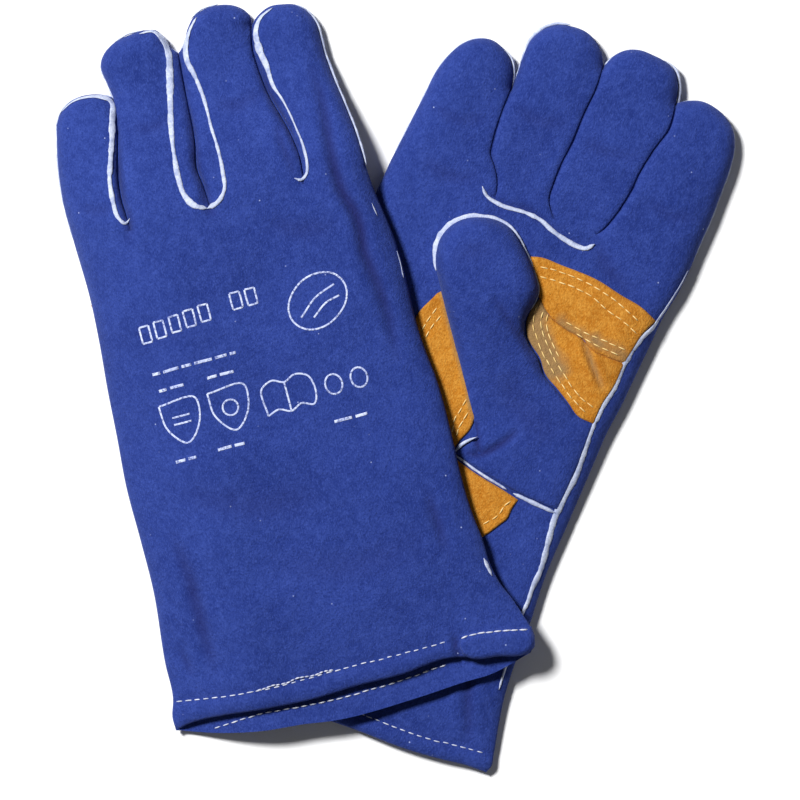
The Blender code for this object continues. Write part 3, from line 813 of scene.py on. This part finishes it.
def strip(shape, path, width, height, level, sink=0.0, pointed=True):
    """A long low strip that follows a surface; width is one value or several along it."""
    line = smooth(path, STRIP_STEP)
    n = sideways(line)
    count = len(line)
    wobble = uneven(line, 7, 7, 2.0) + 0.7 * uneven(line, 2, 2, 4.0)
    sway = uneven(line, 11, 11, 8.0)
    widths = np.atleast_1d(width)
    half = np.interp(np.linspace(0, 1, count), np.linspace(0, 1, len(widths)), widths) / 2
    if pointed:
        ends = np.minimum(np.arange(count), np.arange(count)[::-1]) / 2.5
        half = half * (1 + 0.36 * wobble) * np.clip(ends + 0.2, 0, 1)
    line = line + n * (sway * 0.3)[:, None]
    left, right = line + n * half[:, None], line - n * half[:, None]
    z_left, z_right, z_mid = level(left), level(right), level(line)
    centres = np.column_stack([line, np.maximum(z_mid, (z_left + z_right) / 2) - sink])
    across = np.column_stack([n * half[:, None], (z_left - z_right) / 2])
    up = np.tile((0.0, 0.0, height), (count, 1)) * (1 + 0.3 * wobble)[:, None]
    shape.tube(centres, across, up, 12)


def strips(glove, name, runs, finish, body, **rest):
    """One piece made of strips, each given by its path, width, height and level."""
    shape = Shape()
    for run in runs:
        strip(shape, *run)
    make(glove, name, shape, finish, body, **rest)


def stitches(shape, path, level, lengths=STITCH, gap=STITCH_GAP, radius=0.36):
    """A row of separate stitches pulled down at both ends."""
    line = smooth(path, 0.25)
    run = np.concatenate([[0], np.cumsum(np.linalg.norm(np.diff(line, axis=0), axis=1))])
    starts = np.arange(0.4, run[-1] - lengths, lengths + gap)
    profile = np.array([0.35, 0.9, 1.0, 0.9, 0.35])
    for start in starts:
        shift = RNG.normal(0, 0.12)
        at = start + lengths * (1 + RNG.normal(0, 0.06)) * np.linspace(0, 1, 5)
        flat = np.column_stack([np.interp(at, run, line[:, k]) for k in (0, 1)])
        n = sideways(flat)
        flat = flat + n * shift
        rise = np.array([-0.25, 0.2, 0.34, 0.2, -0.25])
        centres = np.column_stack([flat, level(flat) + rise])
        across = np.column_stack([n, np.zeros(5)]) * (radius * profile)[:, None]
        up = np.tile((0, 0, radius), (5, 1)) * profile[:, None]
        shape.tube(centres, across, up, 6)


# -------------------------------------------------------------------- finishes
class Nodes:
    """Short names for building one material's node tree."""

    def __init__(self, name):
        self.made = bpy.data.materials.new(name)
        self.made.use_nodes = True
        self.tree = self.made.node_tree
        self.shader = self.tree.nodes["Principled BSDF"]
        self.shader.inputs["Metallic"].default_value = 0.0

    def link(self, value, socket):
        if isinstance(value, bpy.types.NodeSocket):
            self.tree.links.new(value, socket)
        else:
            socket.default_value = value

    def add(self, kind, output, inputs, **settings):
        """One node's output. Its inputs are values or other nodes' outputs."""
        node = self.tree.nodes.new("ShaderNode" + kind)
        for name, value in settings.items():
            setattr(node, name, value)
        for name, value in inputs.items():
            self.link(value, node.inputs[name])
        return node.outputs[output]

    def attribute(self, name, output):
        return self.add("Attribute", output, {}, attribute_name=name)

    def stretched(self, vector, scale):
        return self.add("Mapping", "Vector", {"Vector": vector, "Scale": scale})

    def noise(self, vector, scale, detail=3.0, rough=0.55, distortion=0.0):
        return self.add("TexNoise", "Fac", {"Vector": vector, "Scale": scale, "Detail": detail,
                                            "Roughness": rough, "Distortion": distortion})

    def cells(self, vector, scale):
        return self.add("TexVoronoi", "Distance", {"Vector": vector, "Scale": scale})

    def yarns(self, vector, direction):
        return self.add("TexWave", "Fac", {"Vector": vector, "Scale": 380, "Distortion": 1.2},
                        bands_direction=direction)

    def spread(self, value, low, high, to_low=0.0, to_high=1.0):
        return self.add("MapRange", "Result", {"Value": value, "From Min": low, "From Max": high,
                                               "To Min": to_low, "To Max": to_high})

    def math(self, operation, a, b):
        return self.add("Math", 0, {0: a, 1: b}, operation=operation)

    def mix(self, factor, a, b):
        node = self.tree.nodes.new("ShaderNodeMix")
        node.data_type = "RGBA"
        self.link(factor, node.inputs["Factor"])
        for socket, colour in zip([s for s in node.inputs if s.type == "RGBA"], (a, b)):
            self.link(colour if isinstance(colour, bpy.types.NodeSocket) else (*colour, 1), socket)
        return next(s for s in node.outputs if s.type == "RGBA")

    def bump(self, height, distance, strength=1.0, under=None):
        inputs = {"Height": height, "Distance": distance, "Strength": strength}
        if under is not None:
            inputs["Normal"] = under
        return self.add("Bump", "Normal", inputs)

    def finish(self, colour, roughness, normal, sheen, specular, tint=(1, 1, 1)):
        inputs = self.shader.inputs
        self.link(colour, inputs["Base Color"])
        self.link(roughness, inputs["Roughness"])
        self.link(normal, inputs["Normal"])
        inputs["Sheen Weight"].default_value = sheen
        inputs["Sheen Roughness"].default_value = 0.5
        inputs["Sheen Tint"].default_value = (*tint, 1)
        inputs["Specular IOR Level"].default_value = specular
        return self.made


def suede(name, dark, middle, light, crease, lint, tint):
    """Napped split leather: mottled, brushed here and there, with lint on it. The shade attribute mixes
    in the crease colour: painted shade in creases, folds and slits, and on the patches also real
    stains.
    """
    n = Nodes(name)
    rest = n.attribute("rest", "Vector")
    brushed = n.stretched(rest, (1.0, 0.8, 1.0))
    clouds = n.noise(rest, 26, 4.0, 0.6, 0.4)
    nap = n.noise(brushed, 210, 5.0, 0.68, 0.6)
    grain = n.noise(rest, 900, 3.0, 0.65)
    fibres = n.noise(n.stretched(rest, (1.0, 0.3, 1.0)), 2200, 2.0, 0.6)
    colour = n.mix(n.spread(clouds, 0.32, 0.68), dark, middle)
    colour = n.mix(n.spread(nap, 0.40, 0.74, 0.0, 0.6), colour, light)
    colour = n.mix(n.spread(grain, 0.45, 0.66, 0.0, 0.8), colour, dark)
    colour = n.mix(n.spread(fibres, 0.50, 0.72, 0.0, 0.7), colour, light)
    # Painted shade: creases, folds and slits darkened towards the crease colour; on the patches this
    # also lays in real stains and a painted shadow
    colour = n.mix(n.math("MULTIPLY", n.attribute("shade", "Fac"), 0.75), colour, crease)
    specks = n.spread(n.cells(rest, 120), 0.06, 0.02)
    specks = n.math("MULTIPLY", specks, n.spread(n.noise(rest, 60, 2.0), 0.49, 0.58))
    colour = n.mix(n.math("MULTIPLY", specks, 0.8), colour, lint)
    normal = n.bump(nap, 0.0012, 0.55)
    normal = n.bump(grain, 0.0006, 0.8, normal)
    normal = n.bump(fibres, 0.00025, 0.7, normal)
    roughness = n.spread(nap, 0.3, 0.7, 0.82, 0.98)
    return n.finish(colour, roughness, normal, 0.12, 0.10, tint)


def edge_leather():
    """The raw pale strip in the seams, fuzzy and a little dirty."""
    n = Nodes("pale welt leather")
    rest = n.attribute("rest", "Vector")
    dirt = n.noise(rest, 170, 4.0, 0.7)
    grain = n.noise(rest, 1100, 3.0, 0.6)
    colour = n.mix(n.spread(dirt, 0.42, 0.7), (0.56, 0.61, 0.76), (0.26, 0.31, 0.50))
    colour = n.mix(n.spread(grain, 0.45, 0.75, 0.0, 0.7), colour, (0.30, 0.36, 0.58))
    normal = n.bump(dirt, 0.0008, 0.6)
    normal = n.bump(grain, 0.0004, 0.7, normal)
    return n.finish(colour, n.spread(dirt, 0.3, 0.7, 0.7, 0.9), normal, 0.15, 0.25)


def thread(name, light, dark):
    """Twisted sewing thread."""
    n = Nodes(name)
    rest = n.attribute("rest", "Vector")
    twist = n.noise(n.stretched(rest, (1.0, 2.2, 1.0)), 1500, 2.0, 0.5)
    tone = n.noise(rest, 220, 2.0)
    colour = n.mix(n.spread(tone, 0.35, 0.7), light, dark)
    roughness = n.spread(twist, 0.3, 0.7, 0.5, 0.7)
    return n.finish(colour, roughness, n.bump(twist, 0.0003, 0.7), 0.1, 0.35)


def fleece():
    """Brushed cotton lining."""
    n = Nodes("brushed fleece")
    rest = n.attribute("rest", "Vector")
    tufts = n.noise(rest, 420, 5.0, 0.75, 0.8)
    soil = n.noise(rest, 40, 3.0)
    colour = n.mix(n.spread(tufts, 0.35, 0.65), (0.40, 0.40, 0.38), (0.62, 0.61, 0.58))
    colour = n.mix(n.spread(soil, 0.5, 0.75, 0.0, 0.4), colour, (0.34, 0.33, 0.31))
    roughness = n.spread(tufts, 0.3, 0.7, 0.85, 1.0)
    return n.finish(colour, roughness, n.bump(tufts, 0.0014, 0.8), 0.3, 0.2)


def canvas():
    """Plain-woven cotton: two sets of yarns over and under each other."""
    n = Nodes("cotton canvas")
    rest = n.attribute("rest", "Vector")
    weave = n.math("MULTIPLY", n.yarns(rest, "X"), n.yarns(rest, "Y"))
    slub = n.noise(n.stretched(rest, (1.0, 0.15, 1.0)), 500, 3.0)
    colour = n.mix(n.spread(weave, 0.0, 0.8), (0.40, 0.35, 0.26), (0.63, 0.57, 0.45))
    colour = n.mix(n.spread(slub, 0.45, 0.75, 0.0, 0.5), colour, (0.70, 0.65, 0.54))
    roughness = n.spread(slub, 0.3, 0.7, 0.8, 0.95)
    return n.finish(colour, roughness, n.bump(weave, 0.0006, 0.7), 0.15, 0.2)


def print_ink(blue):
    """Pale screen print that has partly worn off the nap."""
    n = Nodes("worn pale print")
    rest = n.attribute("rest", "Vector")
    tone_mask = n.noise(rest, 700, 4.0, 0.7)
    tone = n.noise(rest, 150, 3.0)
    colour = n.mix(n.spread(tone, 0.35, 0.65), (0.62, 0.68, 0.88), (0.42, 0.48, 0.74))
    colour = n.mix(n.spread(tone_mask, 0.50, 0.60, 0.0, 0.75), colour, blue)
    roughness = n.spread(tone_mask, 0.3, 0.7, 0.7, 0.95)
    return n.finish(colour, roughness, n.bump(tone_mask, 0.0004, 0.5), 0.1, 0.25)


BLUE_MIDDLE = (0.021, 0.044, 0.238)
# The fourth colour is the crease colour: painted shade on the blue; on the yellow, the real stains'
# colour and also the painted shade in its creases
BLUE = suede("blue split leather", (0.011, 0.026, 0.165), BLUE_MIDDLE, (0.046, 0.082, 0.345),
             (0.012, 0.012, 0.075), (0.45, 0.52, 0.80), (0.45, 0.55, 1.0))
YELLOW = suede("yellow split leather", (0.36, 0.120, 0.008), (0.55, 0.210, 0.018),
               (0.68, 0.340, 0.060), (0.215, 0.160, 0.085), (0.85, 0.70, 0.40), (1.0, 0.75, 0.4))
WELT = edge_leather()
WHITE_THREAD = thread("white thread", (0.70, 0.72, 0.82), (0.42, 0.46, 0.62))
CREAM_THREAD = thread("cream thread", (0.88, 0.66, 0.28), (0.74, 0.48, 0.15))
FLEECE = fleece()
CANVAS = canvas()
INK = print_ink(BLUE_MIDDLE)


# ------------------------------------------------------------------ the leather
def hand_sheets(glove):
    """Back in one length; the palm side in two, met at the wrist seam."""
    data = glove.data
    top_hem, flat_hem = smooth(data["top_hem"], RIM_STEP), smooth(data["flat_hem"], RIM_STEP)
    wrist = smooth(data["wrist"], RIM_STEP)
    line = glove.knuckle_line()
    back_hem, palm_hem = (flat_hem, top_hem) if glove.palm_up else (top_hem, flat_hem)
    for name, low, high in (("back_panel", back_hem, line), ("cuff_front", palm_hem, wrist),
                            ("palm_panel", wrist, line)):
        on_top = (name == "back_panel") != glove.palm_up
        level = hemmed(glove, top_hem) if on_top else glove.flat
        sheet(glove, name, glove.band(low, high), level, HAND_STEP if on_top else 2 * HAND_STEP,
              BLUE, "glove", down=not on_top)


def hemmed(glove, hem):
    """The domed side with its rounded, turned edge and the stitch row's groove."""
    rows = [smooth(row, 3.0) for row in glove.data["stitch_rows"]]

    def level(p):
        z = glove.top(p)
        near = nearest(p, hem)[0]
        z -= HEM_DROP * (1 - np.sqrt(1 - np.clip(1 - near / HEM_ROUND, 0, 1) ** 2))
        stitched = np.min([nearest(p, row)[0] for row in rows], axis=0)
        pucker = PUCKER * np.sin(p[:, 0] * 2 * np.pi / (STITCH + STITCH_GAP))
        z -= (GROOVE + pucker) * np.exp(-(stitched / GROOVE_HALF) ** 2)
        z += HEM_SWELL * np.exp(-((near - 5.5) / 3.5) ** 2)
        return z
    return level


def fingers(glove):
    """Both leathers of each finger."""
    over, under = ("front", "back") if glove.palm_up else ("back", "front")
    for k, name in enumerate(glove.data["fingers"]):
        outline = glove.finger_outline(k)
        sheet(glove, name + "_" + over, outline, glove.top, FINGER_STEP, BLUE, name)
        sheet(glove, name + "_" + under, outline, glove.flat, 2 * FINGER_STEP, BLUE, name,
              down=True)


def gussets(glove):
    """The narrow leather between two fingers, a little below their domed sides."""
    level = on_face(glove, -glove.data["gusset_depth"])
    for name, slit in zip(glove.data["fingers"][1:], glove.slits):
        run = (slit[1:-1], 1.3, 0.5, level, 0.0, False)
        strips(glove, name + "_gusset", [run], BLUE, name, stands_for=())


def linings(glove):
    """The canvas in the cuff and the fleece in the hand, as loose wavy sleeves."""
    for name, first, last, finish in (
            ("cuff_lining", 7.0, WRIST_SEAM - LINING_MARGIN, CANVAS),
            ("hand_liner", WRIST_SEAM + LINING_MARGIN, glove.knuckles - LINING_MARGIN, FLEECE)):
        columns = np.linspace(-LINING_SPAN, LINING_SPAN, LINING_COLUMNS)
        rows = np.arange(first, last, LINING_STEP)
        shape = Shape()
        rings = []
        for y in rows:
            left = np.interp(y, glove.left[:, 1], glove.left[:, 0])
            right = np.interp(y, glove.right[:, 1], glove.right[:, 0])
            x = (left + right) / 2 + columns * (right - left) / 2
            plan = np.column_stack([x, np.full(len(x), y)])
            low = glove.flat(plan) + LINING_DEPTH
            ripple = 0.35 * np.sin(x / 3.1 + y / 11) + 0.3 * np.sin(y / 4.3)
            high = np.maximum(glove.top(plan) - LINING_DEPTH + ripple - 0.7, low + LINING_ROOM)
            rings.append(np.vstack([np.column_stack([plan, low]),
                                    np.column_stack([plan, high])[::-1]]))
        around = len(rings[0])
        faces = []
        for r in range(len(rows) - 1):
            for c in range(around):
                a, b = r * around + c, r * around + (c + 1) % around
                faces.append((a, b, b + around, a + around))
        shape.add(np.vstack(rings), faces)
        made = make(glove, name, shape, finish, "glove")
        solid = made.modifiers.new("cloth thickness", "SOLIDIFY")
        solid.thickness = LINING * MM
        solid.offset = -1.0


def thumb_axes(glove):
    """A point on the thumb's bending line, and unit vectors across and along the thumb."""
    x, y, turn = THUMB_HINGE[glove.name]
    a = math.radians(turn)
    across = np.array([math.cos(a), math.sin(a)])
    return np.array([x, y]), across, np.array([-math.sin(a), math.cos(a)])


def ahead_of_hinge(glove, p):
    """Distance from the thumb's bending line, along the thumb."""
    hinge, _, ahead = thumb_axes(glove)
    return (p - hinge) @ ahead


def thumb_folds(p):
    """Depth of the lower thumb's creases (mm) and the painted shade in them (0 to 1)."""
    deep = np.zeros(len(p))
    dark = np.zeros(len(p))
    for path, depth, half in THUMB_FOLDS:
        d, place = nearest(p, smooth(path, 3.0))
        valley = np.exp(-(d / half) ** 2) * np.sin(np.pi * place) ** 0.5
        deep += depth * valley
        dark = np.maximum(dark, valley * min(depth / FULL_DARK, 1.0))
    return deep, dark


def lower_thumb(glove):
    """The thumb lies on the palm; its heel runs on from it as one leather."""
    outline = joined(THUMB_OUTLINE, RIM_STEP)
    closed = np.vstack([outline, outline[:1]])

    def level(p):
        full = rounding(nearest(p, closed)[0], THUMB_REACH)
        along = ease((ahead_of_hinge(glove, p) + HEEL_START) / HEEL_RUN)
        rise = HEEL_CROWN + (THUMB_CROWN - HEEL_CROWN) * along
        relief = 0.35 * waves(p, 29.0) - thumb_folds(p)[0]
        return glove.top(p) + 0.7 + full * (rise + relief)

    plan, faces = fill(outline, FINGER_STEP)
    shape = Shape()
    shape.add(np.column_stack([plan, level(plan)]), faces)
    # Painted shade: the thumb's folds are darkened through its shade attribute
    make(glove, "thumb_outer", shape, BLUE, "thumb", thick=LEATHER, shade=thumb_folds(plan)[1],
         stands_for=("thumb_outer", "thumb_heel"))
    under = outline[ahead_of_hinge(glove, outline) > -4]
    sheet(glove, "thumb_inner", under, lambda p: glove.top(p) + 0.45, 2 * FINGER_STEP, BLUE,
          "thumb", down=True)
    tip = THUMB_OUTLINE[2]
    wide = (1.6, 3.2, 3.8, 3.4, 2.8, 2.3, 1.7, 0.9)
    seam = [(tip[:15], wide, 0.9, lambda p: glove.top(p) + 1.6),
            (tip[14:19], 0.7, 0.5, lambda p: glove.top(p) + 1.3)]
    strips(glove, "thumb_welt", seam, WELT, "thumb")
    notch = ((4.2, 149.6), (6.2, 154), (9, 157.6), (12.4, 160.6))
    run = (notch, (1.6, 1.8, 1.4, 0.6), 0.6, lambda p: glove.top(p) + 2.4)
    strips(glove, "heel_welt", [run], WELT, "glove", stands_for=())


def upper_thumb(glove):
    """The upper glove's thumb, folded flat between its palm and the table."""
    hinge, across, ahead = thumb_axes(glove)
    left = ((-19.5, 0), (-22.8, 14), (-24.4, 29), (-23, 43), (-17, 55), (-8, 62), (0, 63.6))
    right = [(-u, v) for u, v in left[::-1]]
    drawn = joined((left, right, ((19.5, 0), (0, 0), (-19.5, 0))), RIM_STEP)
    turned = drawn @ np.array([across, ahead]) + hinge
    rim = turned[drawn[:, 1] > 0.5]

    def thumb_top(p):
        full = rounding(nearest(p, rim)[0], THUMB_REACH)
        return TABLE_GAP + SEAM + (FLAT_THUMB_CROWN - SEAM + 0.4 * waves(p, 31.0)) * full

    def thumb_bottom(p):
        return TABLE_GAP + SEAM * np.exp(-nearest(p, rim)[0] / FLAT_REACH)

    sheet(glove, "thumb_inner", turned, thumb_top, FINGER_STEP * 1.5, BLUE, "thumb")
    sheet(glove, "thumb_outer", turned, thumb_bottom, FINGER_STEP * 1.5, BLUE, "thumb",
          down=True)
    run = (rim[::4], 2.4, 0.8, lambda p: np.full(len(p), TABLE_GAP + SEAM))
    strips(glove, "thumb_welt", [run], WELT, "thumb")
    heel = joined([glove.palm_plan(path) for path in THUMB_OUTLINE], RIM_STEP)
    plate(glove, "thumb_heel", heel[ahead_of_hinge(glove, heel) < -6], BLUE)


def stains_and_painted_shade(glove, p, path, reach, fade):
    """How dark a patch is painted: from a real stain along a path (on the crotch patch, a painted
    shadow along the thumb's edge) and from the painted shade in its creases.
    """
    d = nearest(p, smooth(glove.palm_plan(path), 2.0))[0]
    stain_and_shadow_level = reach - d / fade + 0.5 * uneven(p, 6, 6, 1.0)
    return np.clip(np.maximum(stain_and_shadow_level, 0.9 * glove.folds(p)[1]), 0, 1)


def plate(glove, name, outline, finish, rows=(), stain_and_shadow=None):
    """A cut leather patch sewn on the palm's outer face."""
    closed = np.vstack([outline, outline[:1]])
    tracks = [smooth(row, 2.0) for row in rows]
    plan, faces = fill(outline, PATCH_STEP)
    edge = nearest(plan, closed)[0]
    above = PATCH_EDGE + PATCH * rounding(edge, PATCH_ROUND)
    for track in tracks:
        above -= ROW_GROOVE * np.exp(-(nearest(plan, track)[0] / ROW_GROOVE_HALF) ** 2)
    above += 0.3 * uneven(plan, 13, 13, 41.0) * np.clip(edge / 4, 0, 1)
    if not glove.palm_up:
        faces = [face[::-1] for face in faces]
        above = np.minimum(above, PATCH_ROOM)
    shape = Shape()
    shape.add(np.column_stack([plan, glove.palm(plan, above)]), faces)
    # Real stains, a painted shadow on the crotch patch, and painted shade in the creases
    shade = stains_and_painted_shade(glove, plan, *stain_and_shadow) if stain_and_shadow else None
    make(glove, name, shape, finish, "glove", thick=PATCH, shade=shade)


def patches(glove):
    """The yellow reinforcing patches with their rows of cream stitches."""
    for name, paths in PATCHES.items():
        outline = joined([glove.palm_plan(path) for path in paths], RIM_STEP)
        rows = [glove.palm_plan(row) for row in PATCH_ROWS[name]]
        plate(glove, name, outline, YELLOW, rows, STAINS_AND_SHADOW.get(name))
        sewn = Shape()
        side = 1 if glove.palm_up else -1
        for row in rows:
            stitches(sewn, row, lambda p: glove.palm(p, PATCH - 0.15) + 0.1 * side, 4.2, 0.6, 0.33)
        make(glove, name + "_stitches", sewn, CREAM_THREAD, "glove", stands_for=())


def on_face(glove, above):
    """The domed side moved up by above, and run straight across the slits."""
    return lambda p: glove.top(p, walls=False) + above


def edge_level(glove, z=SEAM):
    """A level rim, z above the flat side."""
    return lambda p: glove.lift(p) + z


def welts(glove):
    """The pale strips in every seam."""
    seen = TOP_WELTS[glove.name]
    for name in ("little_side_welt", "index_side_welt"):
        runs = [(path, width, 0.75, on_face(glove, 0.1)) for path, width in seen.get(name, ())]
        if not glove.palm_up or name == "index_side_welt":
            on_left = (name == "index_side_welt") == glove.palm_up
            edge = glove.left if on_left else glove.right
            runs.append((edge[4::5] * (0.984, 1), 1.8, 0.8, edge_level(glove)))
        strips(glove, name, runs, WELT, "glove")
    for k, digit in enumerate(glove.data["fingers"]):
        name = digit + "_welt"
        around = np.vstack([glove.sides[k], glove.tips[k][1:], glove.sides[k + 1][::-1][1:]])
        centre = around.mean(0)
        inset = centre + (around[1::3] - centre) * 0.975
        runs = [(inset, 1.6, 0.8, edge_level(glove))]
        if digit in EDGE_WELTS[glove.name]:
            path, width = EDGE_WELTS[glove.name][digit]
            runs.append((path, width, 0.9, edge_level(glove, SEAM + 1.0)))
        runs += [(path, width, 0.7, on_face(glove, 0.15)) for path, width in seen.get(name, ())]
        strips(glove, name, runs, WELT, digit)


def palm_welts(glove):
    """The wrist seam and the seam below the middle and ring fingers."""
    wrist = ((-14, 148.5), (4.4, 148.2), (17.7, 144.5), (35.5, 140.8))
    shown = ((39, 140.2), (47, 139.4), (55, 138.8), (62.4, 138.2))
    sink = 0.4 if glove.palm_up else -0.4

    def face(p):
        return glove.palm(p, 0.4)

    runs = [(glove.palm_plan(wrist), 1.2, 0.7, face, sink),
            (glove.palm_plan(shown), (1.6, 2.0, 2.2, 1.8), 0.7, face)]
    strips(glove, "wrist_welt", runs, WELT, "glove")
    runs = [(glove.palm_plan(path), width, 0.75, face)
            for path, width in TOP_WELTS["lower"]["finger_seam_welt"]]
    strips(glove, "finger_seam_welt", runs, WELT, "glove")


def hem_threads(glove):
    """The stitches of both hems, with the mended stretch on the upper glove."""
    shape = Shape()
    level = hemmed(glove, smooth(glove.data["top_hem"], RIM_STEP))
    for row in glove.data["stitch_rows"]:
        stitches(shape, row, lambda p: level(p) + 0.08, radius=0.33)
    if not glove.palm_up:
        stitches(shape, HEM_MEND, lambda p: level(p) + 0.15, 2.4, 0.1, 0.42)
    for row in glove.data["flat_stitch_rows"]:
        stitches(shape, row, lambda p: glove.flat(p) + LEATHER + 0.15)
    make(glove, "hem_thread", shape, WHITE_THREAD, "glove")


def hem_tab(glove):
    """The end of the upper glove's hem, turned over once more and sewn down."""
    outline = joined(HEM_TAB, RIM_STEP)
    closed = np.vstack([outline, outline[:1]])

    def level(p):
        edge = np.clip(nearest(p, closed)[0] / TAB_ROUND, 0, 1)
        rounded = np.sqrt(1 - (1 - edge) ** 2)
        sewn = nearest(p, smooth(HEM_TAB_ROW, 3.0))[0]
        return glove.top(p) - TAB_SINK + TAB_RISE * rounded - 1.0 * np.exp(-(sewn / 1.2) ** 2)

    sheet(glove, "hem_tab", outline, level, PATCH_STEP, BLUE, "glove", stands_for=())
    sewn = Shape()
    stitches(sewn, HEM_TAB_ROW, lambda p: level(p) + 0.15, 4.0, 0.2, 0.45)
    make(glove, "hem_tab_stitches", sewn, WHITE_THREAD, "glove", stands_for=())


# ------------------------------------------------------------------- the print
def frame_strokes(x, y, w, h):
    """The four sides of an upright frame, lower left corner given."""
    return [((x, y), (x + w, y)), ((x + w, y), (x + w, y + h)), ((x + w, y + h), (x, y + h)),
            ((x, y + h), (x, y))]


def dashes(x, y, lengths, pitch):
    """Short level strokes in a row, standing for a line of fine print."""
    strokes = []
    for length in lengths:
        strokes.append(((x, y), (x + length, y)))
        x += length + pitch
    return strokes


def ring_path(x, y, rx, ry, tilt):
    """An ellipse about (x, y), turned by tilt degrees."""
    a = math.radians(tilt)
    made = []
    for t in np.linspace(0, 2 * math.pi, 25):
        u, v = rx * math.cos(t), ry * math.sin(t)
        made.append((x + u * math.cos(a) - v * math.sin(a), y + u * math.sin(a) + v * math.cos(a)))
    return made


def shield(x, y, w, h):
    """A plain shield, upper left corner given."""
    return ((x, y), (x + w, y - 0.5), (x + w - 1, y - h * 0.55), (x + w / 2, y - h),
            (x + 1, y - h * 0.55), (x, y))


def print_marks(glove):
    """Generic marks where the back is printed: bars, frames, a ring and a book."""
    bold = []
    for x in (-55.5, -47.7, -39.9, -32.1, -24.3):
        bold += frame_strokes(x, 193.8 + 0.09 * (x + 55.5), 4.8, 8.2)
    for x in (-7.5, 0.3):
        bold += frame_strokes(x, 198.6, 4.8, 8.0)
    bold += [ring_path(34, 192, 16, 12.4, 28), ((24, 186), (33, 193.5), (44, 198)),
             ((30, 184.5), (38, 190), (45, 192))]
    book = ((-4.5, 143), (-3.8, 157.5), (1.5, 159.6), (7.5, 157.4), (13, 159.8), (19.3, 157.8),
            (18.7, 143), (13, 145), (7.3, 142.6), (1.5, 144.8), (-4.5, 143))
    bold += [shield(-56, 161.5, 19, 21), shield(-31, 161.5, 19, 21), book,
             ((7.5, 157.4), (7.3, 142.6)), ((-51, 154.5), (-42, 154.3)), ((-51, 151), (-42, 150.8)),
             ring_path(-21.5, 152, 4, 4, 0), ring_path(31, 150, 4.2, 5, 0),
             ring_path(44, 150, 4.2, 5, 0)]
    fine = dashes(-55, 177.8, (4, 8, 5, 9, 6, 3), 1.6) + dashes(-54, 169, (4, 7), 1.8)
    fine += dashes(-29, 169, (5, 7), 1.6) + dashes(26.5, 131.8, (9, 6), 1.8)
    fine += dashes(-55, 132.7, (5, 4), 1.6) + dashes(-33, 133.2, (7, 5), 1.6)
    runs = [(path, width, 0.12, on_face(glove, 0.12), 0.0, False)
            for strokes, width in ((bold, 0.95), (fine, 1.5)) for path in strokes]
    strips(glove, "print_marks", runs, INK, "glove", stands_for=())


# ---------------------------------------------------------- floor, light, camera
def stage():
    """A pale level floor under the gloves."""
    bpy.ops.mesh.primitive_plane_add(size=12.0, location=(0, 0, -0.0004))
    floor = bpy.context.active_object
    floor.name = "floor"
    n = Nodes("pale floor")
    colour = n.mix(n.noise(n.attribute("position", "Vector"), 3.0), (0.90, 0.90, 0.905),
                   (0.92, 0.92, 0.92))
    n.link(colour, n.shader.inputs["Base Color"])
    n.shader.inputs["Roughness"].default_value = 0.9
    n.shader.inputs["Specular IOR Level"].default_value = 0.1
    floor.data.materials.append(n.made)


def area_light(name, place, size, power):
    """A round lamp that faces the gloves."""
    lamp = bpy.data.lights.new(name, "AREA")
    lamp.shape = "DISK"
    lamp.size = size
    lamp.energy = power
    holder = bpy.data.objects.new(name, lamp)
    bpy.context.scene.collection.objects.link(holder)
    holder.location = place
    holder.rotation_euler = (-Vector(place)).to_track_quat("-Z", "Y").to_euler()


def studio():
    """A dim even surround, one strong lamp to the upper left, and the camera above."""
    world = bpy.data.worlds.new("studio")
    bpy.context.scene.world = world
    world.use_nodes = True
    background = world.node_tree.nodes["Background"]
    background.inputs["Color"].default_value = (0.96, 0.98, 1.0, 1)
    background.inputs["Strength"].default_value = 0.07
    area_light("key", (-1.52, 1.36, 2.88), 0.75, 192)
    area_light("fill", (0.9, -1.2, 2.0), 1.6, 2)
    camera = bpy.data.cameras.new("camera")
    camera.lens = 269.0
    camera.sensor_width = 36.0
    camera.clip_end = 20.0
    holder = bpy.data.objects.new("camera", camera)
    bpy.context.scene.collection.objects.link(holder)
    holder.location = (0.0028, -0.00544, 3.0)
    bpy.context.scene.camera = holder
    bpy.context.scene.view_settings.view_transform = "Standard"


# --------------------------------------------------------------------- assembly
for drawn in (LOWER, UPPER):
    each = Glove(drawn)
    hand_sheets(each)
    fingers(each)
    gussets(each)
    linings(each)
    patches(each)
    welts(each)
    palm_welts(each)
    hem_threads(each)
    if each.palm_up:
        lower_thumb(each)
    else:
        upper_thumb(each)
        hem_tab(each)
        print_marks(each)
stage()
studio()
